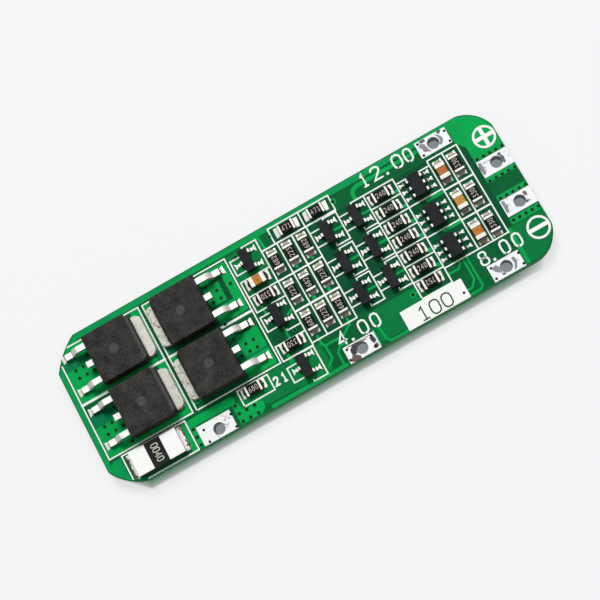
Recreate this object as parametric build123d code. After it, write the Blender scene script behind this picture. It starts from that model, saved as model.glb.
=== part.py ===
from build123d import *
import os

# Battery management board, in millimetres.
# +X runs along the board, +Y across it and +Z up through the parts.
# The origin is under the middle of the board, on the underside that it rests on.

# Board blank
board_length = 60.0
board_width = 20.0
board_thickness = 1.6
# Each corner: side in X and in Y, cut along X, cut along Y and how far the cut bulges out
corners = (
    (1, 1, 3.3, 3.05, 0.62),
    (-1, 1, 3.66, 3.5, 0.3),
    (-1, -1, 3.9, 3.0, 0.55),
    (1, -1, 3.56, 2.9, 0.75),
)

# Solder and lands
solder_film = 0.05
solder_rim = 0.04
solder_sag = 0.3
land_thickness = 0.06

# Wire terminals
wire_hole_diameter = 1.5
barrel_wall = 0.16
tap_land_length = 4.15
tap_land_width = 2.15
power_land_length = 4.0
power_land_width = 2.2
zero_land_length = 4.5
zero_land_width = 2.5
power_hole_inset = 2.15
zero_hole_shift = 0.22
zero_hole_drop = 0.2

# Plated vias
via_diameter = 0.36
via_pitch = 1.04
via_first_out = 0.57
via_low_row = -0.6
via_high_row = 1.5
power_via_inset = 0.35
power_via_pitch = 0.84
power_vias_above = 1.4
power_vias_below = 1.65
zero_vias_left = 2.6
zero_vias_right = 3.1
zero_via_row = -0.85

# Power transistors: a moulded body on a metal frame with a tab
power_body_length = 6.2
power_body_width = 6.5
power_body_height = 2.3
power_parting_height = 1.15
power_draft = 5.0
power_corner_cut = 0.55
power_tab_bevel = 0.3
tab_length = 1.06
tab_width = 5.35
tab_corner = 0.75
frame_thickness = 0.5
paddle_back = 2.3
power_lead_width = 0.75
power_lead_pitch = 4.57
power_lead_reach = 3.0
power_foot_length = 1.05
power_lead_slope = 0.5
power_lead_height = 0.9
power_lead_bend = 0.35
power_lead_root = 0.7
stub_length = 0.9
stub_root = 1.0
power_land_margin = 0.05
power_solder_beyond = 0.6
power_solder_height = 0.4
power_solder_flare = 0.2

# Current shunt: a metal bridge with a coated middle
shunt_length = 6.3
shunt_width = 3.1
shunt_height = 0.9
shunt_foot = 2.1
shunt_leg_drop = 0.2
shunt_coat_wall = 0.08
shunt_solder_beyond = 0.7
shunt_solder_height = 0.55

# Chip resistors and capacitors
chip_length = 2.0
chip_width = 1.25
resistor_height = 0.55
capacitor_height = 0.8
cap_wall = 0.05
resistor_cap_length = 0.32
capacitor_cap_length = 0.5
coat_thickness = 0.04
coat_edge = 0.06
chip_solder_beyond = 0.63
chip_solder_height = 0.34
chip_land_under = 0.45

# Small transistors with three leads
small_body_length = 2.9
small_body_width = 1.2
small_body_height = 0.95
small_lead_pitch = 2.0
small_lead_width = 0.42
small_lead_reach = 0.6
small_foot_length = 0.3
small_lead_slope = 0.12
small_solder_beyond = 0.45
small_solder_flare = 0.24

# Protection chips with six leads
six_body_length = 2.9
six_body_width = 1.6
six_body_height = 1.1
six_lead_pitch = 0.95
six_lead_width = 0.38
six_lead_reach = 0.66
six_foot_length = 0.34
six_lead_slope = 0.14
six_solder_beyond = 0.57
six_solder_flare = 0.06

# What both small packages share
small_standoff = 0.08
small_draft = 6.0
small_lead_thickness = 0.13
small_lead_root = 0.25
small_solder_height = 0.1

# Clearances between the columns, from the left edge to the right.
# The columns take these shares of the length that they leave free.
toe_margin = 1.74
power_tab_gap = 0.8
toe_to_small_column = 1.87
small_column_to_grid = 0.77
grid_gap_x = 0.79
grid_to_transistors = 0.68
transistor_gap_x = 0.6
transistors_to_balance = 0.51
balance_to_chips = 0.69
chips_to_filter = 0.745
filter_gap_x = 0.62
filter_to_lands = 1.425
edge_to_taps = 5.05
shunt_margin = 3.27
shunt_to_zero = 2.12
zero_to_sense = 2.15
first_tap_shift = -0.2

# Clearances between the rows
power_rows_centre = 1.78
power_pitch_gap = 0.78
row_gap = 0.98
middle_row_y = 1.13
transistor_row_drop = 0.1
chip_row_drop = 0.53
balance_rows_centre = 1.0
balance_gap = 0.78
supply_gap = 0.74
top_row_gap = 0.74
top_row_shift = 1.0
top_row_gap_x = 0.74
bottom_margin = 0.05
top_margin = 0.42
shunt_bottom_margin = 0.6
sense_bottom_margin = 2.6
power_lands_gap = 3.3
power_lands_centre = -0.1
small_column_bottom = 1.13
small_column_gaps = (0.98, 1.8, 0.68, 0.92, 0.66)

# Single vias, from the left and bottom edges
lone_vias = (
    (4.3, 4.95), (20.6, 11.8), (23.5, 15.8), (25.5, 18.4), (30.25, 18.45),
    (39.0, 18.35), (27.55, 7.0), (41.75, 3.65), (47.05, 0.86),
)

# Vias beside each power transistor: how far they stand off its own rows, and their columns
power_vias = {
    "power_transistor_upper_left": (0, 3),
    "power_transistor_lower_left": (-0.45, 3),
    "power_transistor_upper_right": (0, 2),
    "power_transistor_lower_right": (-0.15, 3),
}

# Heights and edges worked out from the sizes above
left_edge = -board_length / 2
right_edge = board_length / 2
bottom_edge = -board_width / 2
top_edge = board_width / 2
deck = board_thickness
seat = deck + solder_film

# Columns and rows worked out from the sizes and clearances above
power_span = power_lead_reach + power_body_length + tab_length
chip_footprint = chip_length + 2 * chip_solder_beyond
small_footprint = small_body_width + 2 * (small_lead_reach + small_solder_beyond)
six_footprint = six_body_width + 2 * (six_lead_reach + six_solder_beyond)


def beside(x, width, next_width, gap):
    """Centre of the column or row that stands a gap beyond another one."""
    return x + width / 2 + gap + next_width / 2


column_widths = (2 * power_span + 2.5 * small_footprint + 1.5 * chip_footprint + 5 * chip_width
                 + six_footprint + power_land_length)
column_gaps = (toe_margin + power_tab_gap + toe_to_small_column + small_column_to_grid + 2 * grid_gap_x
               + grid_to_transistors + transistor_gap_x + transistors_to_balance + balance_to_chips
               + chips_to_filter + filter_gap_x + filter_to_lands)
share = (board_length - column_widths) / column_gaps

left_wall_x = left_edge + share * toe_margin + power_lead_reach
left_tab_end = left_wall_x + power_body_length + tab_length
right_wall_x = left_tab_end + share * power_tab_gap + tab_length + power_body_length
small_column_x = beside(right_wall_x, 2 * power_lead_reach, small_footprint, share * toe_to_small_column)
grid_x = beside(small_column_x, chip_footprint, chip_width, share * small_column_to_grid)
grid_pitch_x = chip_width + share * grid_gap_x
grid_xs = [grid_x + k * grid_pitch_x for k in range(3)]
middle_x = beside(grid_xs[-1], chip_width, small_footprint, share * grid_to_transistors)
right_x = beside(middle_x, small_footprint, small_footprint, share * transistor_gap_x)
balance_x = beside(right_x, small_footprint, chip_footprint, share * transistors_to_balance)
chips_x = beside(balance_x, chip_footprint, six_footprint, share * balance_to_chips)
filter_capacitor_x = beside(chips_x, six_footprint, chip_width, share * chips_to_filter)
filter_resistor_x = beside(filter_capacitor_x, chip_width, chip_width, share * filter_gap_x)

power_pitch = power_body_width + power_pitch_gap
power_ys = [power_rows_centre + k * power_pitch / 2 for k in (1, -1)]
row_pitch = chip_footprint + row_gap
row_ys = [middle_row_y + k * row_pitch for k in (1, 0, -1)]
balance_pitch = chip_width + balance_gap
balance_ys = [balance_rows_centre - k * balance_pitch / 2 for k in range(-5, 6, 2)]
supply_y = balance_ys[-1] - chip_width - supply_gap
top_row_y = beside(row_ys[0], chip_footprint, chip_width, top_row_gap)
top_row_x = grid_xs[1] + top_row_shift
top_row_xs = [top_row_x, beside(top_row_x, chip_footprint, chip_footprint, top_row_gap_x)]

shunt_x = left_edge + shunt_margin + shunt_length / 2
shunt_y = bottom_edge + shunt_bottom_margin + shunt_width / 2
zero_x = beside(shunt_x, shunt_length, zero_land_length, shunt_to_zero)
zero_y = bottom_edge + bottom_margin + zero_land_width / 2
sense_x = beside(zero_x, zero_land_length, chip_footprint, zero_to_sense)
sense_y = bottom_edge + sense_bottom_margin + chip_width / 2
right_tap_x = right_edge - edge_to_taps - tap_land_length / 2
low_tap_y = bottom_edge + bottom_margin + tap_land_width / 2
high_tap_y = top_edge - top_margin - tap_land_width / 2
power_land_x = right_edge - power_land_length / 2
power_land_ys = [power_lands_centre + k * (power_lands_gap + power_land_width) / 2 for k in (1, -1)]

# Wire terminals: name, middle of the land, its size and how far the hole stands off its middle
tap_land = (tap_land_length, tap_land_width, 0, 0)
power_land = (power_land_length, power_land_width, power_hole_inset - power_land_length / 2, 0)
terminals = {
    "terminal_zero_volt": (zero_x, zero_y, zero_land_length, zero_land_width, zero_hole_shift, -zero_hole_drop),
    "terminal_first_cell": (grid_xs[-1] + first_tap_shift, low_tap_y, *tap_land),
    "terminal_second_cell": (right_tap_x, low_tap_y, *tap_land),
    "terminal_third_cell": (right_tap_x, high_tap_y, *tap_land),
    "terminal_positive": (power_land_x, power_land_ys[0], *power_land),
    "terminal_negative": (power_land_x, power_land_ys[1], *power_land),
}

# Power transistors: name, lead wall, row and turn about Z
power_sites = {
    "power_transistor_upper_left": (left_wall_x, power_ys[0], 0),
    "power_transistor_lower_left": (left_wall_x, power_ys[1], 0),
    "power_transistor_upper_right": (right_wall_x, power_ys[0], 180),
    "power_transistor_lower_right": (right_wall_x, power_ys[1], 180),
}


def stacked(bottom, widths, gaps):
    """Centres of pieces stacked upwards from a bottom margin, with a gap between each two."""
    centres = [bottom_edge + bottom + widths[0] / 2]
    for k, gap in enumerate(gaps):
        centres.append(beside(centres[-1], widths[k], widths[k + 1], gap))
    return centres


small_column = stacked(
    small_column_bottom,
    (small_body_length, chip_width, small_body_length, chip_width, chip_width, small_body_length),
    small_column_gaps,
)

# Small transistors, resistors and capacitors: name, place and turn about Z
small_sites = {f"left_transistor_{k + 1}": (small_column_x, y, 0)
               for k, y in enumerate((small_column[5], small_column[2], small_column[0]))}
small_sites |= {f"{column}_transistor_{k + 1}": (x, y - transistor_row_drop, 0)
                for column, x in (("middle", middle_x), ("right", right_x)) for k, y in enumerate(row_ys)}

six_sites = {f"protection_chip_{k + 1}": (chips_x, y - chip_row_drop, 0) for k, y in enumerate(row_ys)}

resistor_sites = {f"divider_resistor_{'abc'[col]}{row + 1}": (x, y, 90)
                  for col, x in enumerate(grid_xs) for row, y in enumerate(row_ys)}
resistor_sites |= {f"top_resistor_{k + 1}": (x, top_row_y, 0) for k, x in enumerate(top_row_xs)}
resistor_sites |= {f"gate_resistor_{k + 1}": (small_column_x, small_column[j], 0)
                   for k, j in enumerate((3, 1))}
resistor_sites |= {f"balance_resistor_{k + 1}": (balance_x, y, 0) for k, y in enumerate(balance_ys)}
resistor_sites |= {"supply_resistor": (balance_x, supply_y, 0), "sense_resistor": (sense_x, sense_y, 0)}
resistor_sites |= {f"filter_resistor_{k + 1}": (filter_resistor_x, y - chip_row_drop, 90)
                   for k, y in enumerate(row_ys)}

capacitor_sites = {"gate_capacitor": (small_column_x, small_column[4], 0)}
capacitor_sites |= {f"filter_capacitor_{k + 1}": (filter_capacitor_x, y - chip_row_drop, 90)
                    for k, y in enumerate(row_ys)}


def box(x0, x1, y0, y1, z0, z1):
    """A block between two corners."""
    return Pos(x0, y0, z0) * Box(x1 - x0, y1 - y0, z1 - z0, align=(Align.MIN,) * 3)


def placed(shape, x, y, z, turn=0):
    """A piece modelled round its own origin, turned about Z and set down on the board."""
    return Pos(x, y, z) * Rot(0, 0, turn) * shape


def drill(places, diameter, z0, z1):
    """Round cutters at several places."""
    return [Pos(x, y, z0) * Cylinder(diameter / 2, z1 - z0, align=(Align.CENTER, Align.CENTER, Align.MIN))
            for x, y in places]


def side_profile(points, width):
    """A closed outline in the XZ plane, given width along Y about the middle."""
    face = Plane.XZ * make_face(Polyline(*points, close=True))
    return extrude(face, amount=width / 2, both=True)


def corner_arc(side_x, side_y, cut_x, cut_y, bulge):
    """One corner of the board: its start, middle and end, counter-clockwise seen from above."""
    cut = (cut_x ** 2 + cut_y ** 2) ** 0.5
    middle = (side_x * (right_edge - cut_x / 2 + bulge * cut_y / cut),
              side_y * (top_edge - cut_y / 2 + bulge * cut_x / cut))
    on_end = (side_x * right_edge, side_y * (top_edge - cut_y))
    on_side = (side_x * (right_edge - cut_x), side_y * top_edge)
    return (on_end, middle, on_side) if side_x == side_y else (on_side, middle, on_end)


def board_outline():
    """Board blank seen from above: four straight sides and four bulged corner cuts."""
    arcs = [corner_arc(*corner) for corner in corners]
    edges = [ThreePointArc(*arc) for arc in arcs]
    for arc, next_arc in zip(arcs, arcs[1:] + arcs[:1]):
        edges.append(Line(arc[-1], next_arc[0]))
    return make_face(edges)


def via_places():
    """Every plated via that stands clear of the lands."""
    places = []
    for name, (x, y, turn) in power_sites.items():
        out = 1 if turn else -1
        shift, columns = power_vias[name]
        for k in range(columns):
            column = x + out * (via_first_out + k * via_pitch)
            places += [(column, y + shift + via_low_row + row * via_pitch) for row in (0, 1)]
        places.append((x + out * via_first_out, y + via_high_row))
    for y in power_land_ys:
        for k in range(5):
            x = power_land_x - power_land_length / 2 + power_via_inset + k * power_via_pitch
            places += [(x, y + power_vias_above), (x, y - power_vias_below)]
    rows = [zero_y + zero_via_row + k * via_pitch for k in range(3)]
    places += [(zero_x - zero_vias_left, y) for y in rows]
    places += [(zero_x + zero_vias_right, y) for y in rows]
    places += [(zero_x + zero_vias_right + k * via_pitch, y) for k in (1, 2) for y in rows[:2]]
    places += [(left_edge + x, bottom_edge + y) for x, y in lone_vias]
    return places


def via_cutter(x, y, flats=6):
    """Cutter of one via, kept to a few flats because there are so many."""
    return Pos(x, y) * extrude(RegularPolygon(via_diameter / 2, flats), amount=deck)


def circuit_board():
    """Laminate blank with its wire holes and plated vias."""
    barrels = [(x + shift_x, y + shift_y) for x, y, _, _, shift_x, shift_y in terminals.values()]
    cutters = drill(barrels, wire_hole_diameter + 2 * barrel_wall, 0, deck)
    vias = [via_cutter(x, y) for x, y in via_places()]
    return extrude(board_outline(), amount=board_thickness) - cutters - vias


def terminal(x, y, length, width, shift_x, shift_y):
    """Tinned land with the plated barrel of its wire hole, down to the underside."""
    top = deck + land_thickness
    hole = [(x + shift_x, y + shift_y)]
    land = box(x - length / 2, x + length / 2, y - width / 2, y + width / 2, deck, top)
    barrel = drill(hole, wire_hole_diameter + 2 * barrel_wall, 0, deck)
    return land + barrel - drill(hole, wire_hole_diameter, 0, top)


def solder_joint(under, beyond, width, height, flare=0.0):
    """Solder under and in front of a terminal face at x = 0, with a slope that sags in two flats."""
    outer = width / 2 + flare
    inner = width / 2
    outline = Polyline((-under, -inner), (0, -inner), (beyond, -outer),
                       (beyond, outer), (0, inner), (-under, inner), close=True)
    plan = make_face(outline)
    film = Pos(0, 0, -solder_film) * extrude(plan, amount=solder_film)
    belly = (solder_sag * beyond, solder_rim + solder_sag * (height - solder_rim))
    profile = make_face(Polyline((0, 0), (beyond, 0), (beyond, solder_rim), belly, (0, height), close=True))
    fillet_block = extrude(Plane.XZ * profile, amount=outer, both=True)
    return film + (fillet_block & extrude(plan, amount=height))


def gull_lead(height, thickness, width, reach, foot, slope, root, bend=0.0):
    """Formed lead: out of the body wall at x = 0, down a slope and flat along the board."""
    upper = height + thickness / 2
    lower = thickness / 2
    points = [(-root, 0, upper), (reach - foot - slope, 0, upper), (reach - foot, 0, lower), (reach, 0, lower)]
    path = FilletPolyline(*points, radius=bend) if bend else Polyline(*points)
    section = Plane(origin=path @ 0, z_dir=path % 0, x_dir=(0, 1, 0)) * Rectangle(width, thickness)
    return sweep(section, path=path, transition=Transition.RIGHT)


def moulded(plan, standoff, parting, height, draft):
    """Moulded block that narrows above and below its parting line."""
    upper = extrude(Pos(0, 0, parting) * plan, amount=height - parting, taper=draft)
    lower = extrude(Pos(0, 0, parting) * plan, amount=standoff - parting, taper=draft)
    return upper + lower


def power_frame():
    """Tab with its paddle and cut centre lead, and the two formed outer leads, as three solids."""
    tab_end = power_body_length + tab_length
    paddle = box(paddle_back, tab_end, -tab_width / 2, tab_width / 2, 0, frame_thickness)
    corners = paddle.edges().filter_by(Axis.Z).group_by(Axis.X)[-1]
    paddle = fillet(corners, radius=tab_corner)
    upper = power_lead_height + frame_thickness / 2
    points = [(-stub_length, 0, upper), (stub_root, 0, upper),
              (paddle_back, 0, frame_thickness / 2), (paddle_back + stub_root, 0, frame_thickness / 2)]
    path = Polyline(*points)
    section = Plane(origin=path @ 0, z_dir=path % 0, x_dir=(0, 1, 0)) * Rectangle(power_lead_width, frame_thickness)
    paddle += sweep(section, path=path, transition=Transition.RIGHT)
    lead = Rot(0, 0, 180) * gull_lead(power_lead_height, frame_thickness, power_lead_width, power_lead_reach,
                                      power_foot_length, power_lead_slope, power_lead_root, power_lead_bend)
    return [paddle] + [Pos(0, side * power_lead_pitch / 2, 0) * lead for side in (1, -1)]


def power_body(frame):
    """Moulded body, cut at its tab corners, bevelled over the tab and closed round its frame."""
    half = power_body_width / 2
    cut = power_corner_cut
    plan = make_face(Polyline((0, -half), (power_body_length - cut, -half), (power_body_length, cut - half),
                              (power_body_length, half - cut), (power_body_length - cut, half), (0, half),
                              close=True))
    body = moulded(plan, 0, power_parting_height, power_body_height, power_draft)
    top = body.faces().sort_by(Axis.Z)[-1]
    body = chamfer(top.edges().sort_by(Axis.X)[-1], length=power_tab_bevel)
    for piece in frame:
        body -= piece
    return body


def power_solder():
    """Solder under the paddle and at the two outer leads of a power transistor."""
    tab_end = power_body_length + tab_length
    side = tab_width / 2 + power_land_margin
    pieces = [box(paddle_back, tab_end + power_land_margin, -side, side, -solder_film, 0)]
    joint = solder_joint(power_foot_length, power_solder_beyond, power_lead_width,
                         power_solder_height, power_solder_flare)
    for sign in (1, -1):
        pieces.append(placed(joint, -power_lead_reach, sign * power_lead_pitch / 2, 0, 180))
    return pieces


def shunt_element():
    """Metal bridge that stands on two solid feet, thinned between them for its coating."""
    half = shunt_length / 2
    gap = half - shunt_foot
    top = shunt_height - shunt_coat_wall
    points = [(-half, 0), (-gap, 0), (-gap, shunt_leg_drop), (gap, shunt_leg_drop), (gap, 0), (half, 0),
              (half, shunt_height), (gap, shunt_height), (gap, top), (-gap, top), (-gap, shunt_height),
              (-half, shunt_height)]
    return side_profile(points, shunt_width)


def shunt_coating(element):
    """Moulded sleeve round the middle of the bridge."""
    gap = shunt_length / 2 - shunt_foot
    side = shunt_width / 2 + shunt_coat_wall
    low = shunt_leg_drop - shunt_coat_wall
    return box(-gap, gap, -side, side, low, shunt_height) - element


def chip_resistor():
    """Ceramic core, its dark coat and the two end terminals that wrap over top and bottom."""
    half = chip_length / 2
    side = chip_width / 2
    core = box(cap_wall - half, half - cap_wall, -side, side, cap_wall, resistor_height - cap_wall)
    inner = half - resistor_cap_length
    left = box(-half, -inner, -side, side, 0, resistor_height) - core
    right = mirror(left, about=Plane.YZ)
    top = resistor_height - cap_wall
    coat = box(-inner, inner, coat_edge - side, side - coat_edge, top, top + coat_thickness)
    return [core, coat, left, right]


def chip_capacitor():
    """Ceramic block and the two end terminals that close over five sides."""
    half = chip_length / 2
    side = chip_width / 2
    core = box(cap_wall - half, half - cap_wall, cap_wall - side, side - cap_wall,
               cap_wall, capacitor_height - cap_wall)
    inner = half - capacitor_cap_length
    left = box(-half, -inner, -side, side, 0, capacitor_height) - core
    return [core, left, mirror(left, about=Plane.YZ)]


def chip_solder():
    """Solder joints at both ends of a chip resistor or capacitor."""
    joint = solder_joint(chip_land_under, chip_solder_beyond, chip_width, chip_solder_height)
    return [placed(joint, side * chip_length / 2, 0, 0, 0 if side > 0 else 180) for side in (1, -1)]


def small_package(length, width, height, lead, reach, joint, lead_places):
    """Body, leads and solder of a small moulded package with its leads on the two long sides."""
    parting = (small_standoff + height) / 2
    body = moulded(Rectangle(width, length), small_standoff, parting, height, small_draft)
    leads = []
    solder = []
    for side, y in lead_places:
        turn = 0 if side > 0 else 180
        leads.append(placed(lead, side * width / 2, y, 0, turn))
        solder.append(placed(joint, side * (width / 2 + reach), y, 0, turn))
    for piece in leads:
        body -= piece
    return body, leads, solder


def small_transistor():
    """Three-lead package: one lead on the left, two on the right."""
    height = (small_standoff + small_body_height - small_lead_thickness) / 2
    lead = gull_lead(height, small_lead_thickness, small_lead_width, small_lead_reach,
                     small_foot_length, small_lead_slope, small_lead_root)
    joint = solder_joint(small_foot_length, small_solder_beyond, small_lead_width,
                         small_solder_height, small_solder_flare)
    places = [(-1, 0), (1, small_lead_pitch / 2), (1, -small_lead_pitch / 2)]
    return small_package(small_body_length, small_body_width, small_body_height, lead,
                         small_lead_reach, joint, places)


def six_lead_chip():
    """Six-lead package: three leads on each side."""
    height = (small_standoff + six_body_height - small_lead_thickness) / 2
    lead = gull_lead(height, small_lead_thickness, six_lead_width, six_lead_reach,
                     six_foot_length, six_lead_slope, small_lead_root)
    joint = solder_joint(six_foot_length, six_solder_beyond, six_lead_width, small_solder_height, six_solder_flare)
    places = [(side, row * six_lead_pitch) for side in (-1, 1) for row in (1, 0, -1)]
    return small_package(six_body_length, six_body_width, six_body_height, lead,
                         six_lead_reach, joint, places)


def set_down(pieces, site):
    """Copies of a part's pieces at its site, on the solder."""
    x, y, turn = site
    return [placed(piece, x, y, seat, turn) for piece in pieces]


def build():
    """Every node of the board, by name, as a list of separate solids."""
    nodes = {"circuit_board": [circuit_board()]}
    for name, sizes in terminals.items():
        nodes[name] = [terminal(*sizes)]
    solder = []

    frame = power_frame()
    body = power_body(frame)
    for name, site in power_sites.items():
        nodes[f"{name}_body"] = set_down([body], site)
        nodes[f"{name}_frame"] = set_down(frame, site)
        solder += set_down(power_solder(), site)

    element = shunt_element()
    joint = solder_joint(shunt_foot, shunt_solder_beyond, shunt_width, shunt_solder_height)
    ends = [placed(joint, side * shunt_length / 2, 0, 0, 0 if side > 0 else 180) for side in (1, -1)]
    nodes["shunt_element"] = set_down([element], (shunt_x, shunt_y, 0))
    nodes["shunt_coating"] = set_down([shunt_coating(element)], (shunt_x, shunt_y, 0))
    solder += set_down(ends, (shunt_x, shunt_y, 0))

    for label, package, sites in (("transistor", small_transistor(), small_sites),
                                  ("chip", six_lead_chip(), six_sites)):
        moulding, leads, joints = package
        nodes[f"{label}_leads"] = []
        for name, site in sites.items():
            nodes[name] = set_down([moulding], site)
            nodes[f"{label}_leads"] += set_down(leads, site)
            solder += set_down(joints, site)

    for pieces, sites in ((chip_resistor(), resistor_sites), (chip_capacitor(), capacitor_sites)):
        for name, site in sites.items():
            nodes[name] = set_down(pieces, site)
            solder += set_down(chip_solder(), site)

    nodes["solder_joints"] = solder
    return nodes


os.makedirs("parts", exist_ok=True)
for node, shapes in build().items():
    solids = [solid for shape in shapes for solid in shape.solids()]
    export_step(Compound(children=solids) if len(solids) > 1 else solids[0], f"parts/{node}.step")
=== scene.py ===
"""Dressed scene of a battery management board.

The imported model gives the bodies, leads, lands and blank. This script adds the copper relief, the white
print, the plain numerals, the solder and every finish, and sets the board down on a pale floor.
All drawing is in millimetres; meshes are written in metres.
"""
import logging
import math
import random
from dataclasses import dataclass
from enum import Enum
from typing import Any, Callable, Sequence

import bmesh
import bpy
from mathutils import Matrix, Vector


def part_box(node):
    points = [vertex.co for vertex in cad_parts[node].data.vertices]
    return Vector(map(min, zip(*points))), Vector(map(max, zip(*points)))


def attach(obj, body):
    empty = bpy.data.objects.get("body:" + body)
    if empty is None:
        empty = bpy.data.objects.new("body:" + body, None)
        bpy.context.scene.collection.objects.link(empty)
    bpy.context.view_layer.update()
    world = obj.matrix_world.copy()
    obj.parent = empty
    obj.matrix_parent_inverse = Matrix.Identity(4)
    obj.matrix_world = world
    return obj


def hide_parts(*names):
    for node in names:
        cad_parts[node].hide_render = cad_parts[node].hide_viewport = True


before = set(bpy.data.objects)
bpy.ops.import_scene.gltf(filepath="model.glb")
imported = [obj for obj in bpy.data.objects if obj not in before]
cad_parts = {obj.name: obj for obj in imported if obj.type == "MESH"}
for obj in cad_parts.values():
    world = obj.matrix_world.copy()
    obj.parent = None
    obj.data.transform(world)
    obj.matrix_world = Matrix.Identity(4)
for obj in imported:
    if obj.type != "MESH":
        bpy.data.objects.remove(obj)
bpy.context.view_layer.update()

log = logging.getLogger("board")

Colour = tuple[float, float, float, float]
Point = tuple[float, float]
Box = tuple[float, float, float, float]
MM = 0.001
DECK = 1.6
PRINT_HEIGHT = 0.045
RESISTORS = ("divider_resistor", "top_resistor", "gate_resistor", "balance_resistor", "supply_resistor",
             "sense_resistor", "filter_resistor")
CAPACITORS = ("gate_capacitor", "filter_capacitor")
TRANSISTORS = ("left_transistor", "middle_transistor", "right_transistor")
CHIPS = ("protection_chip",)


def shade(red: float, green: float, blue: float) -> Colour:
    """Linear colour of a display colour.

    Args:
        red, green, blue: display values from 0 to 255.

    Returns:
        The colour as a shader socket takes it.
    """
    def decode(part: float) -> float:
        """Linear value of one display value."""
        part /= 255
        return part / 12.92 if part <= 0.04045 else ((part + 0.055) / 1.055) ** 2.4
    return decode(red), decode(green), decode(blue), 1.0


# Shader graph


class Value:
    """A number on a shader socket, which takes part in arithmetic."""

    def __init__(self, graph: "Graph", socket: bpy.types.NodeSocket) -> None:
        """Wraps one output socket of a graph."""
        self.graph = graph
        self.socket = socket

    def _math(self, operation: str, *operands: Any) -> "Value":
        """Adds one Math node and returns its result."""
        node = self.graph.node("ShaderNodeMath", {"operation": operation}, dict(enumerate(operands)))
        return Value(self.graph, node.outputs[0])

    def __add__(self, other: Any) -> "Value":
        """Sum."""
        return self._math("ADD", self, other)

    def __radd__(self, other: Any) -> "Value":
        """Sum with a number on the left."""
        return self._math("ADD", other, self)

    def __sub__(self, other: Any) -> "Value":
        """Difference."""
        return self._math("SUBTRACT", self, other)

    def __rsub__(self, other: Any) -> "Value":
        """Difference from a number on the left."""
        return self._math("SUBTRACT", other, self)

    def __mul__(self, other: Any) -> "Value":
        """Product."""
        return self._math("MULTIPLY", self, other)

    def __abs__(self) -> "Value":
        """Absolute value."""
        return self._math("ABSOLUTE", self)

    def at_least(self, other: Any) -> "Value":
        """The larger of two values."""
        return self._math("MAXIMUM", self, other)

    def power(self, exponent: float) -> "Value":
        """The value raised to a power."""
        return self._math("POWER", self, exponent)

    def step(self, low: float, high: float) -> "Value":
        """Smooth rise from 0 at low to 1 at high.

        Args:
            low: value where the rise starts.
            high: value where it ends.

        Returns:
            The eased value between 0 and 1.
        """
        node = self.graph.node("ShaderNodeMapRange", {"interpolation_type": "SMOOTHSTEP"},
                               {"Value": self, "From Min": low, "From Max": high})
        return Value(self.graph, node.outputs[0])


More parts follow.
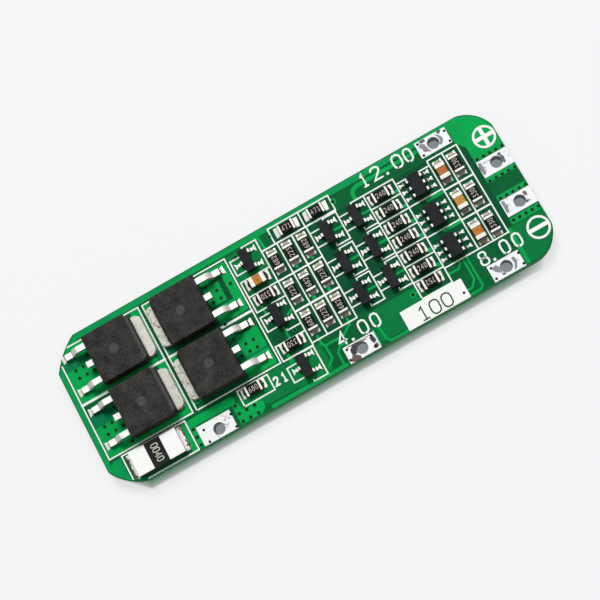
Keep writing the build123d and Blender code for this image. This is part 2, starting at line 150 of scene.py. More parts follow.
class Graph:
    """The node tree of one material."""

    def __init__(self, name: str) -> None:
        """Starts an empty material with one surface shader."""
        self.material = bpy.data.materials.new(name)
        self.material.use_nodes = True
        self.tree = self.material.node_tree
        self.tree.nodes.clear()
        self.output = self.tree.nodes.new("ShaderNodeOutputMaterial")

    def node(self, kind: str, settings: dict[str, Any] | None = None,
             inputs: dict[Any, Any] | None = None) -> bpy.types.Node:
        """Adds a node.

        Args:
            kind: the node's type.
            settings: properties that are set before the sockets.
            inputs: values or links by socket name or number.

        Returns:
            The new node.
        """
        node = self.tree.nodes.new(kind)
        for key, setting in (settings or {}).items():
            setattr(node, key, setting)
        for key, source in (inputs or {}).items():
            if isinstance(source, Value):
                source = source.socket
            if isinstance(source, bpy.types.NodeSocket):
                self.tree.links.new(source, node.inputs[key])
            else:
                node.inputs[key].default_value = source
        return node

    def place(self) -> bpy.types.NodeSocket:
        """Position in the shared frame, in millimetres."""
        spot = self.node("ShaderNodeTexCoord").outputs["Object"]
        scaled = self.node("ShaderNodeVectorMath", {"operation": "SCALE"}, {0: spot, "Scale": 1 / MM})
        return scaled.outputs[0]

    def parts(self, vector: bpy.types.NodeSocket) -> list[Value]:
        """The three components of a vector."""
        return [Value(self, part) for part in self.node("ShaderNodeSeparateXYZ", inputs={0: vector}).outputs]

    def facing_up(self) -> Value:
        """1 on level faces that look up, 0 on walls."""
        normal = self.node("ShaderNodeNewGeometry").outputs["Normal"]
        return self.parts(normal)[2]

    def grain(self, scale: float, detail: float = 3, rough: float = 0.6, warp: float = 0.0,
              stretch: Sequence[float] = (1, 1, 1)) -> Value:
        """Noise with a given number of cells to the millimetre."""
        spot = self.node("ShaderNodeVectorMath", {"operation": "MULTIPLY"},
                         {0: self.place(), 1: tuple(stretch)}).outputs[0]
        node = self.node("ShaderNodeTexNoise", inputs={"Vector": spot, "Scale": scale, "Detail": detail,
                                                       "Roughness": rough, "Distortion": warp})
        return Value(self, node.outputs[0])

    def cells(self, scale: float, feature: str = "DISTANCE_TO_EDGE") -> Value:
        """Distance in a Voronoi pattern with a given number of cells to the millimetre."""
        node = self.node("ShaderNodeTexVoronoi", {"feature": feature},
                         {"Vector": self.place(), "Scale": scale})
        return Value(self, node.outputs[0])

    def painted(self, attribute: str) -> Value:
        """A number that the mesh carries at its points."""
        node = self.node("ShaderNodeAttribute", {"attribute_name": attribute})
        return Value(self, node.outputs["Fac"])

    def mix(self, amount: Value, low: Any, high: Any) -> bpy.types.NodeSocket:
        """Colour between low at 0 and high at 1."""
        node = self.node("ShaderNodeMix", {"data_type": "RGBA"}, {0: amount, 6: low, 7: high})
        return node.outputs[2]

    def rounded(self, radius: float) -> bpy.types.NodeSocket:
        """Normal that rounds off the edges by a radius in millimetres."""
        return self.node("ShaderNodeBevel", {"samples": 4}, {"Radius": radius * MM}).outputs[0]

    def bump(self, height: Value, strength: float, depth: float,
             normal: bpy.types.NodeSocket | None = None) -> bpy.types.NodeSocket:
        """Normal with a relief of a depth in millimetres."""
        inputs: dict[Any, Any] = {"Height": height, "Strength": strength, "Distance": depth * MM}
        if normal is not None:
            inputs["Normal"] = normal
        return self.node("ShaderNodeBump", inputs=inputs).outputs[0]

    def surface(self, **sockets: Any) -> bpy.types.Material:
        """Ends the material in one surface shader.

        Args:
            sockets: values or links by socket name, with _ for a space.

        Returns:
            The finished material.
        """
        named = {key.replace("_", " "): source for key, source in sockets.items()}
        shader = self.node("ShaderNodeBsdfPrincipled", inputs=named)
        self.tree.links.new(shader.outputs[0], self.output.inputs[0])
        return self.material


# Finishes


@dataclass(frozen=True)
class Mask:
    """Green solder mask over laminate or copper, with a paler cut edge."""

    name: str
    tone: Colour
    deep: Colour
    edge: Colour = shade(26, 130, 68)
    streak_and_highlight: Colour = shade(128, 160, 142)
    gloss: float = 0.04

    def material(self) -> bpy.types.Material:
        """The finish as a material."""
        graph = Graph(self.name)
        cloud = graph.grain(0.35, 3).step(0.35, 0.68)
        fine = graph.grain(9, 2)
        skin = graph.mix(cloud * 0.7 + fine * 0.3, self.tone, self.deep)
        # Pale layered streaks on the cut edge: the laminate's layers, partly painted highlight.
        layers = graph.grain(1.0, 4, stretch=(0.25, 0.25, 9)).step(0.48, 0.7)
        rim = graph.mix(layers, self.edge, self.streak_and_highlight)
        top = abs(graph.facing_up()).step(0.4, 0.8)
        weave = graph.grain(5, 2, stretch=(1, 1, 0.2))
        return graph.surface(Base_Color=graph.mix(top, rim, skin), Roughness=0.34 + fine * 0.16,
                             Specular_IOR_Level=self.gloss, Normal=graph.bump(weave, 0.25, 0.02))


@dataclass(frozen=True)
class Tin:
    """Tinned metal with dull blotches and fine scratches.

    A band of painted shade lies on both sides of a line across the board: the line's X and the band's two
    distances. Walls take painted shade in the wall tone.
    """

    name: str
    bright: Colour
    dull: Colour
    # wall: painted shade on the walls and in the band
    wall: Colour
    blotch: float
    share: float
    scratch: float
    roughness: float = 0.42
    metallic: float = 0.15
    edge_radius: float = 0.05
    band: tuple[float, float, float] | None = None

    def material(self) -> bpy.types.Material:
        """The finish as a material."""
        graph = Graph(self.name)
        blot = graph.grain(self.blotch, 4, 0.62, 0.8).step(1 - self.share, 1.12 - self.share)
        lines = 1 - graph.grain(7, 5, 0.75, 1.5, (1, 0.35, 1)).step(0.40, 0.47)
        specks = 1 - graph.cells(3.2, "F1").step(0.06, 0.13)
        marks = (lines * self.scratch).at_least(specks * self.scratch).at_least(blot * 0.75)
        # Upright faces take the wall tone: painted shade.
        shaded_upright = 1 - abs(graph.facing_up()).step(0.25, 0.75)
        tone = graph.mix(shaded_upright, graph.mix(marks, self.bright, self.dull), self.wall)
        # The band paints shade on both sides of the line.
        if self.band:
            line, low, high = self.band
            out = abs(graph.parts(graph.place())[0] - line)
            inside = out.step(low - 0.03, low + 0.03) * (1 - out.step(high - 0.05, high + 0.05))
            tone = graph.mix(inside, tone, self.wall)
        normal = graph.bump(graph.grain(4, 4), 0.3, 0.03, graph.rounded(self.edge_radius))
        return graph.surface(Base_Color=tone, Roughness=self.roughness + blot * 0.15,
                             Metallic=self.metallic, Normal=normal)


@dataclass(frozen=True)
class FrameMetal:
    """Tinned frame of a power transistor: a cracked grey tab and bright formed leads.

    Both columns of transistors turn their tabs to one line across the board. The leads begin where the reach
    of the tabs ends, and they slope down between two distances from the line.
    """

    name: str = "frame_metal"
    tab_line: float = -17.6
    tab_reach: float = 3.0
    slope: tuple[float, float] = (8.95, 9.65)
    bright: Colour = shade(250, 249, 246)
    # grey: random dull smears, and painted shade on the lead slope
    grey: Colour = shade(146, 142, 134)
    shade_side: Colour = shade(84, 78, 66)
    tab_tone: Colour = shade(205, 203, 193)
    tab_dull: Colour = shade(140, 134, 120)
    crack: Colour = shade(40, 38, 32)

    def material(self) -> bpy.types.Material:
        """The finish as a material."""
        graph = Graph(self.name)
        along = graph.parts(graph.place())[0]
        out = abs(along - self.tab_line)
        is_lead = out.step(self.tab_reach - 0.1, self.tab_reach)
        right = (along - self.tab_line).step(-0.05, 0.05)
        wall = 1 - graph.facing_up().step(0.15, 0.6)
        low, high = self.slope
        # The lead slope and the fold lines at its ends are painted darker, as shade.
        shaded_slope = out.step(low - 0.12, low + 0.12) * (1 - out.step(high - 0.1, high + 0.1))
        smear = graph.grain(2.4, 4, 0.62, 0.6).step(0.52, 0.7)
        fold_shade = (1 - abs(out - low).step(0.03, 0.11)).at_least(1 - abs(out - high).step(0.02, 0.08))
        lead = graph.mix((shaded_slope * 0.45).at_least(smear * 0.45), self.bright, self.grey)
        lead = graph.mix(fold_shade * 0.4, lead, self.shade_side)
        lead = graph.mix(wall * (1 - shaded_slope), lead, self.shade_side)
        blot = graph.grain(1.5, 4, 0.65, 0.8).step(0.45, 0.7)
        pits = 1 - graph.cells(2.6, "F1").step(0.04, 0.1)
        lines = 1 - graph.cells(0.97).step(0.015, 0.05)
        marks = (pits * 0.7).at_least(lines * right * graph.grain(1.6, 3).step(0.42, 0.56))
        tab = graph.mix(blot * 0.6, self.tab_tone, self.tab_dull)
        tab = graph.mix(marks * (0.25 + right * 0.65), tab, self.crack)
        tab = graph.mix(wall, tab, self.shade_side)
        normal = graph.bump(graph.grain(4, 4), 0.3, 0.03, graph.rounded(0.07))
        return graph.surface(Base_Color=graph.mix(is_lead, tab, lead), Roughness=0.42 + blot * 0.15,
                             Metallic=is_lead * 0.1 + 0.25, Normal=normal)


@dataclass(frozen=True)
class SolderSkin:
    """Solder with painted reflections: its mesh says where it takes a painted highlight and where it is dull
    and dark, as flux with painted dark reflection.
    """

    name: str = "solder"
    bright: Colour = shade(246, 245, 240)
    dull: Colour = shade(142, 136, 120)
    # dark: painted dark reflection in the hollows of the joints
    dark: Colour = shade(22, 42, 24)

    def material(self) -> bpy.types.Material:
        """The finish as a material."""
        graph = Graph(self.name)
        # Where the painted shine is high the solder takes a painted highlight; elsewhere flux and painted dark
        # reflection.
        ragged = graph.painted("shine") + (graph.grain(6, 4, 0.7, 0.6) - 0.5) * 0.9
        shine = ragged.step(0.4, 0.58)
        dulled = (graph.painted("shine") + graph.grain(5, 3, 0.65)).step(0.45, 0.85)
        flux_and_dark_reflection = graph.mix(dulled, self.dark, self.dull)
        tone = graph.mix(shine, flux_and_dark_reflection, self.bright)
        return graph.surface(Base_Color=tone, Roughness=0.4 - shine * 0.12, Metallic=0.2,
                             Normal=graph.bump(graph.grain(5, 3), 0.35, 0.03))


@dataclass(frozen=True)
class Epoxy:
    """Dark moulding compound with a fine grain.

    Mark is the radius of the round mark on top, in millimetres, and the bevel amount says how much a painted
    highlight lightens the sloping edge at +X.
    """

    name: str
    tone: Colour
    worn: Colour
    radius: float
    mark: float = 0.0
    # The mark tone colours the round mark and the painted highlight on the bevel.
    mark_and_highlight_tone: Colour = shade(80, 81, 80)
    bevel_highlight: float = 0.0
    body: tuple[float, float] = (6.2, 6.5)

    def material(self) -> bpy.types.Material:
        """The finish as a material."""
        graph = Graph(self.name)
        cloud = graph.grain(0.7, 4, 0.6).step(0.3, 0.75)
        dust = graph.grain(6.5, 4, 0.78).step(0.42, 0.68)
        tone = graph.mix(cloud * 0.4 + dust * 0.6, self.tone, self.worn)
        along, _, upward = graph.parts(graph.node("ShaderNodeNewGeometry").outputs["Normal"])
        # Painted highlight: faces that lean towards +X and up take the paler mark tone.
        tone = graph.mix(along.step(0.3, 0.5) * upward.step(0.4, 0.6) * self.bevel_highlight, tone, self.mark_and_highlight_tone)
        grain = graph.grain(13, 3, 0.7)
        normal = graph.bump(grain, 0.35, 0.02, graph.rounded(self.radius))
        if self.mark:
            inside = self.ejector(graph)
            tone = graph.mix(inside * (0.45 + dust * 0.55), tone, self.mark_and_highlight_tone)
            normal = graph.bump(1 - inside, 0.8, 0.05, normal)
        return graph.surface(Base_Color=tone, Roughness=0.55 + dust * 0.15, Specular_IOR_Level=0.06,
                             Normal=normal)

    def ejector(self, graph: Graph) -> Value:
        """1 inside the round mark that the mould's pin leaves on top."""
        along, across, _ = graph.parts(graph.node("ShaderNodeTexCoord").outputs["Generated"])
        out = ((along - 0.5) * self.body[0]).power(2) + ((across - 0.5) * self.body[1]).power(2)
        inside = 1 - out.power(0.5).step(self.mark - 0.04, self.mark + 0.02)
        return inside * graph.facing_up().step(0.8, 0.95)


class Stain(Enum):
    """Finish of a stain on a land, with its slot."""

    BLOT = 0
    SCORCH = 1
    TARNISH = 2
    SLATE = 3


class Axis(Enum):
    """Long direction of a chip resistor or capacitor."""

    ALONG = 0
    ACROSS = 1


@dataclass(frozen=True)
class ChipFinish:
    """Chip resistor or capacitor: a body between two tinned ends.

    Each end takes a share of the length, and brow says how much duller its outermost part is.
    """

    name: str
    axis: Axis
    body: Colour
    # body_deep: random darker cloud, and painted shade on the body's walls
    body_deep: Colour
    end_share: float
    end: Colour = shade(242, 239, 230)
    end_dull: Colour = shade(184, 180, 166)
    # end_wall_shade: painted shade on the walls of the ends
    end_wall_shade: Colour = shade(52, 56, 44)
    brow: float = 0.0
    gloss: float = 0.45

    def material(self) -> bpy.types.Material:
        """The finish as a material."""
        graph = Graph(self.name)
        box_place = graph.node("ShaderNodeTexCoord").outputs["Generated"]
        along = graph.parts(box_place)[self.axis.value]
        ends = abs(along - 0.5).step(0.5 - self.end_share, 0.51 - self.end_share)
        wall = 1 - graph.facing_up().step(0.3, 0.7)
        cloud = graph.grain(3, 3).step(0.3, 0.7)
        # The body's walls take the deep tone: painted shade.
        core = graph.mix((cloud * 0.6).at_least(wall), self.body, self.body_deep)
        brow = abs(along - 0.5).step(0.5 - self.end_share * 0.55, 0.5 - self.end_share * 0.35)
        tin = graph.mix(graph.grain(5, 4, 0.7, 0.5).step(0.52, 0.66), self.end, self.end_dull)
        tin = graph.mix(brow * self.brow, tin, self.end_dull)
        # The walls of the ends take the wall tone: painted shade.
        tin = graph.mix(wall, tin, self.end_wall_shade)
        normal = graph.bump(graph.grain(10, 3), 0.3, 0.015, graph.rounded(0.04))
        return graph.surface(Base_Color=graph.mix(ends, core, tin), Metallic=ends * 0.15,
                             Roughness=self.gloss + cloud * 0.15, Specular_IOR_Level=0.1, Normal=normal)


@dataclass(frozen=True)
class Ink:
    """Printed ink, slightly worn and uneven."""

    name: str
    tone: Colour
    thin: Colour
    wear: float = 0.25

    def material(self) -> bpy.types.Material:
        """The finish as a material."""
        graph = Graph(self.name)
        worn = graph.grain(4.5, 5, 0.7).step(0.62, 0.8) * self.wear
        return graph.surface(Base_Color=graph.mix(worn, self.tone, self.thin), Roughness=0.55 + worn * 0.2,
                             Specular_IOR_Level=0.1, Normal=graph.bump(graph.grain(14, 2), 0.25, 0.01))


class Finishes:
    """Every material of the board, made once."""

    def __init__(self) -> None:
        """Builds the materials."""
        self.laminate = Mask("solder_mask", shade(6, 96, 50), shade(6, 84, 44)).material()
        self.copper = Mask("mask_over_copper", shade(3, 163, 76), shade(3, 148, 72)).material()
        self.pour = Mask("mask_over_pour", shade(6, 122, 62), shade(6, 110, 56)).material()
        # The trench tone marks the gaps between copper and also paints shade between the parts.
        self.trench_and_shade = Mask("mask_in_trench", shade(5, 84, 48), shade(5, 72, 42)).material()
        self.strip = Mask("mask_over_strip", shade(5, 150, 80), shade(5, 138, 72)).material()
        self.teal = Mask("mask_over_plane", shade(6, 124, 80), shade(8, 108, 72)).material()
        # The third colour of each tinned finish is painted shade on its walls; on the lands it stands for the
        # shade in the wire holes.
        self.land = Tin("tinned_land", shade(234, 236, 238), shade(118, 122, 126), shade(160, 168, 172),
                        blotch=1.1, share=0.42, scratch=0.25, roughness=0.6, metallic=0.05).material()
        self.frame = FrameMetal().material()
        bright, dull = shade(246, 246, 243), shade(150, 150, 142)
        self.fine_lead = Tin("fine_lead", bright, dull, shade(58, 64, 56),
                             blotch=4.0, share=0.3, scratch=0.2, edge_radius=0.02).material()
        self.chip_lead = Tin("chip_lead", bright, dull, shade(22, 44, 28), blotch=4.0, share=0.3,
                             scratch=0.2, edge_radius=0.02, band=(18.68, 1.06, 1.4)).material()
        self.bridge = Tin("shunt_metal", shade(242, 242, 240), shade(190, 191, 190), shade(46, 44, 36),
                          blotch=1.2, share=0.36, scratch=0.12).material()
        self.solder = SolderSkin().material()
        self.power_body = Epoxy("moulding", shade(27, 27, 28), shade(74, 73, 71), radius=0.06, mark=0.6,
                                bevel_highlight=0.8).material()
        self.small_body = Epoxy("small_moulding", shade(24, 27, 30), shade(50, 50, 52),
                                radius=0.05).material()
        self.bridge_coat = Epoxy("shunt_coating", shade(24, 28, 27), shade(42, 46, 44),
                                 radius=0.06).material()
        dark, deep = shade(12, 13, 12), shade(8, 14, 9)
        self.resistor = {
            axis: ChipFinish(f"chip_resistor_{axis.name.lower()}", axis, dark, deep, 0.13).material()
            for axis in Axis}
        self.capacitor = {
            node: ChipFinish(f"ceramic_{node}", axis, tone, deep_tone, 0.25, brow=0.35).material()
            for node, axis, tone, deep_tone in (
                ("gate_capacitor", Axis.ALONG, shade(190, 130, 62), shade(134, 84, 36)),
                ("filter_capacitor_1", Axis.ACROSS, shade(188, 116, 58), shade(140, 78, 34)),
                ("filter_capacitor_2", Axis.ACROSS, shade(200, 150, 74), shade(150, 104, 40)),
                ("filter_capacitor_3", Axis.ACROSS, shade(198, 124, 60), shade(142, 80, 34)))}
        self.ink = Ink("white_ink", shade(236, 238, 235), shade(186, 208, 194)).material()
        self.code_ink = Ink("code_ink", shade(206, 202, 190), shade(90, 88, 80), 0.8).material()
        self.dark_ink = Ink("numeral_gap", shade(22, 50, 34), shade(50, 80, 62)).material()
        # Near-black painted shadow for the via holes.
        self.hole_shadow = Ink("via_shadow", shade(4, 12, 8), shade(10, 26, 16)).material()
        self.via_rim = Ink("via_rim", shade(6, 128, 62), shade(150, 166, 112), 0.6).material()
        self.scorch = Ink("land_scorch", shade(104, 82, 78), shade(176, 170, 168), 0.9).material()
        self.tarnish = Ink("land_tarnish", shade(136, 136, 146), shade(214, 214, 220), 0.9).material()
        self.slate = Ink("land_slate", shade(62, 62, 70), shade(112, 108, 112), 0.7).material()
        self.blot = Ink("land_blot", shade(96, 100, 102), shade(150, 154, 156), 0.6).material()


# Mesh building


@dataclass(frozen=True)
class Spot:
    """A place on the board with a turn about the vertical, in millimetres and degrees."""

    x: float
    y: float
    turn: float = 0.0

    def put(self, point: Point) -> Point:
        """A point of the spot's own drawing, on the board."""
        angle = math.radians(self.turn)
        cos, sin = math.cos(angle), math.sin(angle)
        return self.x + point[0] * cos - point[1] * sin, self.y + point[0] * sin + point[1] * cos


def facing(x: float, y: float, side: int) -> Spot:
    """A spot that looks along +X for side 1 and along -X for side -1."""
    return Spot(x, y, 0 if side > 0 else 180)


def leftward(way: Vector) -> Vector:
    """The direction to the left of a way."""
    return Vector((-way.y, way.x))


def stroke_outline(points: Sequence[Point], width: float) -> list[Point]:
    """Outline of a pen stroke with rounded ends.

    Args:
        points: middle line of the stroke.
        width: pen width.

    Returns:
        The closed outline.
    """
    end_reach, end_half, sharpest = 0.8, 0.4, 0.45
    line = [Vector(point) for point in points]
    ways = [(b - a).normalized() for a, b in zip(line, line[1:])]
    half = width / 2
    left: list[Vector] = []
    right: list[Vector] = []
    for k, point in enumerate(line):
        before, after = ways[max(k - 1, 0)], ways[min(k, len(ways) - 1)]
        side = leftward((before + after).normalized())
        reach = half / max(side.dot(leftward(before)), sharpest)
        left.append(point + side * reach)
        right.append(point - side * reach)
    tip, tip_side = line[-1] + ways[-1] * half * end_reach, leftward(ways[-1]) * half * end_half
    tail, tail_side = line[0] - ways[0] * half * end_reach, leftward(ways[0]) * half * end_half
    outline = left + [tip + tip_side, tip - tip_side] + right[::-1] + [tail - tail_side, tail + tail_side]
    return [tuple(point) for point in outline]


def circle(sides: int) -> list[Point]:
    """Corners of a regular polygon of radius 1."""
    turns = [2 * math.pi * k / sides for k in range(sides)]
    return [(math.cos(turn), math.sin(turn)) for turn in turns]


def band(mesh: bmesh.types.BMesh, first: Sequence[bmesh.types.BMVert],
         second: Sequence[bmesh.types.BMVert]) -> list[bmesh.types.BMFace]:
    """Joins two closed loops of points by faces.

    Args:
        mesh: the mesh of both loops.
        first: points of one loop.
        second: points of the other loop, in the same order.

    Returns:
        The new faces.
    """
    count = len(first)
    return [mesh.faces.new((first[k], first[(k + 1) % count], second[(k + 1) % count], second[k]))
            for k in range(count)]


class Relief:
    """Flat shapes with a low wall, drawn in millimetres and gathered into one mesh.

    Each shape stands a hair higher than the one before, so that no two crossing shapes share a face.
    """

    hair: float = 0.0002

    def __init__(self, bottom: float, top: float) -> None:
        """Starts an empty relief between two heights."""
        self.bottom = bottom
        self.top = top
        self.rise = 0.0
        self.mesh = bmesh.new()

    def plate(self, outline: Sequence[Point], slot: int = 0, lift: float = 0.0) -> None:
        """A raised area.

        Args:
            outline: corners in order.
            slot: which material it takes.
            lift: height above the relief's own top.
        """
        self.rise += self.hair
        level = (self.top + lift + self.rise) * MM
        upper = [self.mesh.verts.new((x * MM, y * MM, level)) for x, y in outline]
        lower = [self.mesh.verts.new((x * MM, y * MM, self.bottom * MM)) for x, y in outline]
        for face in [self.mesh.faces.new(upper)] + band(self.mesh, lower, upper):
            face.material_index = slot

    def areas(self, *boxes: Box, slot: int = 0, corner: float = 0.12) -> None:
        """Raised rectangles with small cut corners, each from x0, y0 to x1, y1."""
        for x0, y0, x1, y1 in boxes:
            cut = min(corner, abs(x1 - x0) / 3, abs(y1 - y0) / 3)
            self.plate([(x0 + cut, y0), (x1 - cut, y0), (x1, y0 + cut), (x1, y1 - cut),
                        (x1 - cut, y1), (x0 + cut, y1), (x0, y1 - cut), (x0, y0 + cut)], slot)

    def strokes(self, width: float, *paths: Sequence[Point]) -> None:
        """Raised strokes of one pen."""
        for path in paths:
            self.plate(stroke_outline(path, width))

    def disc(self, x: float, y: float, radius: float, slot: int = 0, lift: float = 0.0,
             sides: int = 14) -> None:
        """A raised disc."""
        self.plate([(x + radius * cos, y + radius * sin) for cos, sin in circle(sides)], slot, lift)

    def ring(self, x: float, y: float, inner: float, outer: float, sides: int = 28) -> None:
        """A raised ring."""
        self.rise += self.hair
        top = self.top + self.rise
        loops = [[self.mesh.verts.new(((x + radius * cos) * MM, (y + radius * sin) * MM, z * MM))
                  for cos, sin in circle(sides)]
                 for radius, z in ((outer, self.bottom), (outer, top), (inner, top), (inner, self.bottom))]
        for low, high in zip(loops, loops[1:]):
            band(self.mesh, low, high)

    def piece(self, name: str, materials: Sequence[bpy.types.Material], slot: str) -> None:
        """Turns the relief into a piece that rides on the board.

        Args:
            name: the piece's name.
            materials: its materials by slot number.
            slot: not used.
        """
        finish_piece(self.mesh, name, materials)


def add_object(mesh: bmesh.types.BMesh, name: str,
               materials: Sequence[bpy.types.Material]) -> bpy.types.Object:
    """Writes a mesh to the scene.

    Args:
        mesh: the finished mesh, in metres.
        name: the object's name.
        materials: its materials by slot number.

    Returns:
        The new object.
    """
    data = bpy.data.meshes.new(name)
    mesh.to_mesh(data)
    mesh.free()
    for material in materials:
        data.materials.append(material)
    added = bpy.data.objects.new(name, data)
    bpy.context.scene.collection.objects.link(added)
    return added


def finish_piece(mesh: bmesh.types.BMesh, name: str, materials: Sequence[bpy.types.Material],
                 smooth: bool = False) -> bpy.types.Object:
    """Writes a mesh to the scene as one piece on the board.

    Args:
        mesh: the finished mesh, in metres.
        name: the piece's name.
        materials: its materials by slot number.
        smooth: whether its faces shade as one smooth skin.

    Returns:
        The new object.
    """
    bmesh.ops.recalc_face_normals(mesh, faces=mesh.faces)
    piece = add_object(mesh, name, materials)
    for polygon in piece.data.polygons:
        polygon.use_smooth = smooth
    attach(piece, "root")
    log.info("%s: %d faces", name, len(piece.data.polygons))
    return piece


@dataclass(frozen=True)
class Site:
    """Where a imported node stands, in millimetres."""

    low: Vector
    high: Vector

    @classmethod
    def of(cls, node: str) -> "Site":
        """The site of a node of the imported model."""
        low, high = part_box(node)
        return cls(low / MM, high / MM)

    @property
    def middle(self) -> Vector:
        """Middle of the site."""
        return (self.low + self.high) / 2

    @property
    def size(self) -> Vector:
        """Lengths of the site along the three axes."""
        return self.high - self.low

    @property
    def axis(self) -> Axis:
        """Long direction of the part on this site."""
        return Axis.ALONG if self.size.x > self.size.y else Axis.ACROSS


def nodes_like(*stems: str) -> list[str]:
    """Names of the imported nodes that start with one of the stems, in order."""
    return sorted(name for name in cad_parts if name.startswith(stems))


def dress(node: str, material: bpy.types.Material) -> None:
    """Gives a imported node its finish."""
    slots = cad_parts[node].material_slots
    for slot in slots:
        slot.material = material
    if not slots:
        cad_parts[node].data.materials.append(material)


# Plain numerals


@dataclass(frozen=True)
class Numerals:
    """Pen strokes of the figures 0 to 8, in a box 1 wide and 1.5 high."""

    pen: float = 0.17

    @staticmethod
    def strokes(figure: str) -> list[list[Point]]:
        """The strokes of one figure."""
        return {
            "0": [[(0.3, 0), (0.7, 0), (0.94, 0.2), (1, 0.5), (1, 1), (0.94, 1.3), (0.7, 1.5), (0.3, 1.5),
                   (0.06, 1.3), (0, 1), (0, 0.5), (0.06, 0.2), (0.3, 0)]],
            "1": [[(0.25, 1.2), (0.55, 1.5), (0.55, 0)], [(0.2, 0), (0.9, 0)]],
            "2": [[(0.03, 1.2), (0.12, 1.4), (0.35, 1.5), (0.7, 1.5), (0.95, 1.3), (0.95, 1.0), (0.7, 0.7),
                   (0.05, 0.03), (1, 0.03)]],
            "3": [[(0.05, 1.5), (0.95, 1.5), (0.45, 0.9), (0.75, 0.85), (0.98, 0.6), (0.95, 0.25),
                   (0.7, 0), (0.3, 0), (0.03, 0.2)]],
            "4": [[(0.75, 0), (0.75, 1.5), (0.0, 0.45), (1.0, 0.45)]],
            "5": [[(0.93, 1.5), (0.12, 1.5), (0.06, 0.85), (0.4, 0.98), (0.75, 0.92), (0.98, 0.6),
                   (0.93, 0.2), (0.65, 0), (0.3, 0), (0.03, 0.2)]],
            "6": [[(0.85, 1.5), (0.4, 1.2), (0.06, 0.7), (0.03, 0.35), (0.2, 0.05), (0.5, 0), (0.85, 0.08),
                   (1, 0.35), (0.95, 0.65), (0.7, 0.85), (0.35, 0.82), (0.07, 0.6)]],
            "7": [[(0.02, 1.5), (0.98, 1.5), (0.4, 0)]],
            "8": [[(0.35, 0.8), (0.1, 0.68), (0, 0.42), (0.06, 0.15), (0.3, 0), (0.7, 0), (0.94, 0.15),
                   (1, 0.42), (0.9, 0.68), (0.65, 0.8), (0.35, 0.8), (0.14, 0.93), (0.06, 1.18), (0.14, 1.4),
                   (0.35, 1.5), (0.65, 1.5), (0.86, 1.4), (0.94, 1.18), (0.86, 0.93), (0.65, 0.8)]],
        }[figure]

    def draw(self, relief: Relief, figure: str, spot: Spot, width: float, height: float) -> None:
        """Draws one figure.

        Args:
            relief: where the strokes go.
            figure: which figure.
            spot: lower left corner and turn of the figure's box.
            width: width of the box, in millimetres.
            height: height of the box, in millimetres.
        """
        for points in self.strokes(figure):
            relief.strokes(self.pen, [spot.put((x * width, y / 1.5 * height)) for x, y in points])

    def code(self, relief: Relief, figures: str, spot: Spot, width: float, height: float,
             pitch: float) -> None:
        """Draws figures in a row about a middle point.

        Args:
            relief: where the strokes go.
            figures: the figures in order.
            spot: middle and turn of the row.
            width: width of one figure, in millimetres.
            height: height of the figures, in millimetres.
            pitch: distance from one figure to the next.
        """
        start = -(len(figures) - 1) * pitch / 2 - width / 2
        for k, figure in enumerate(figures):
            corner = spot.put((start + k * pitch, -height / 2))
            self.draw(relief, figure, Spot(*corner, spot.turn), width, height)


# Board


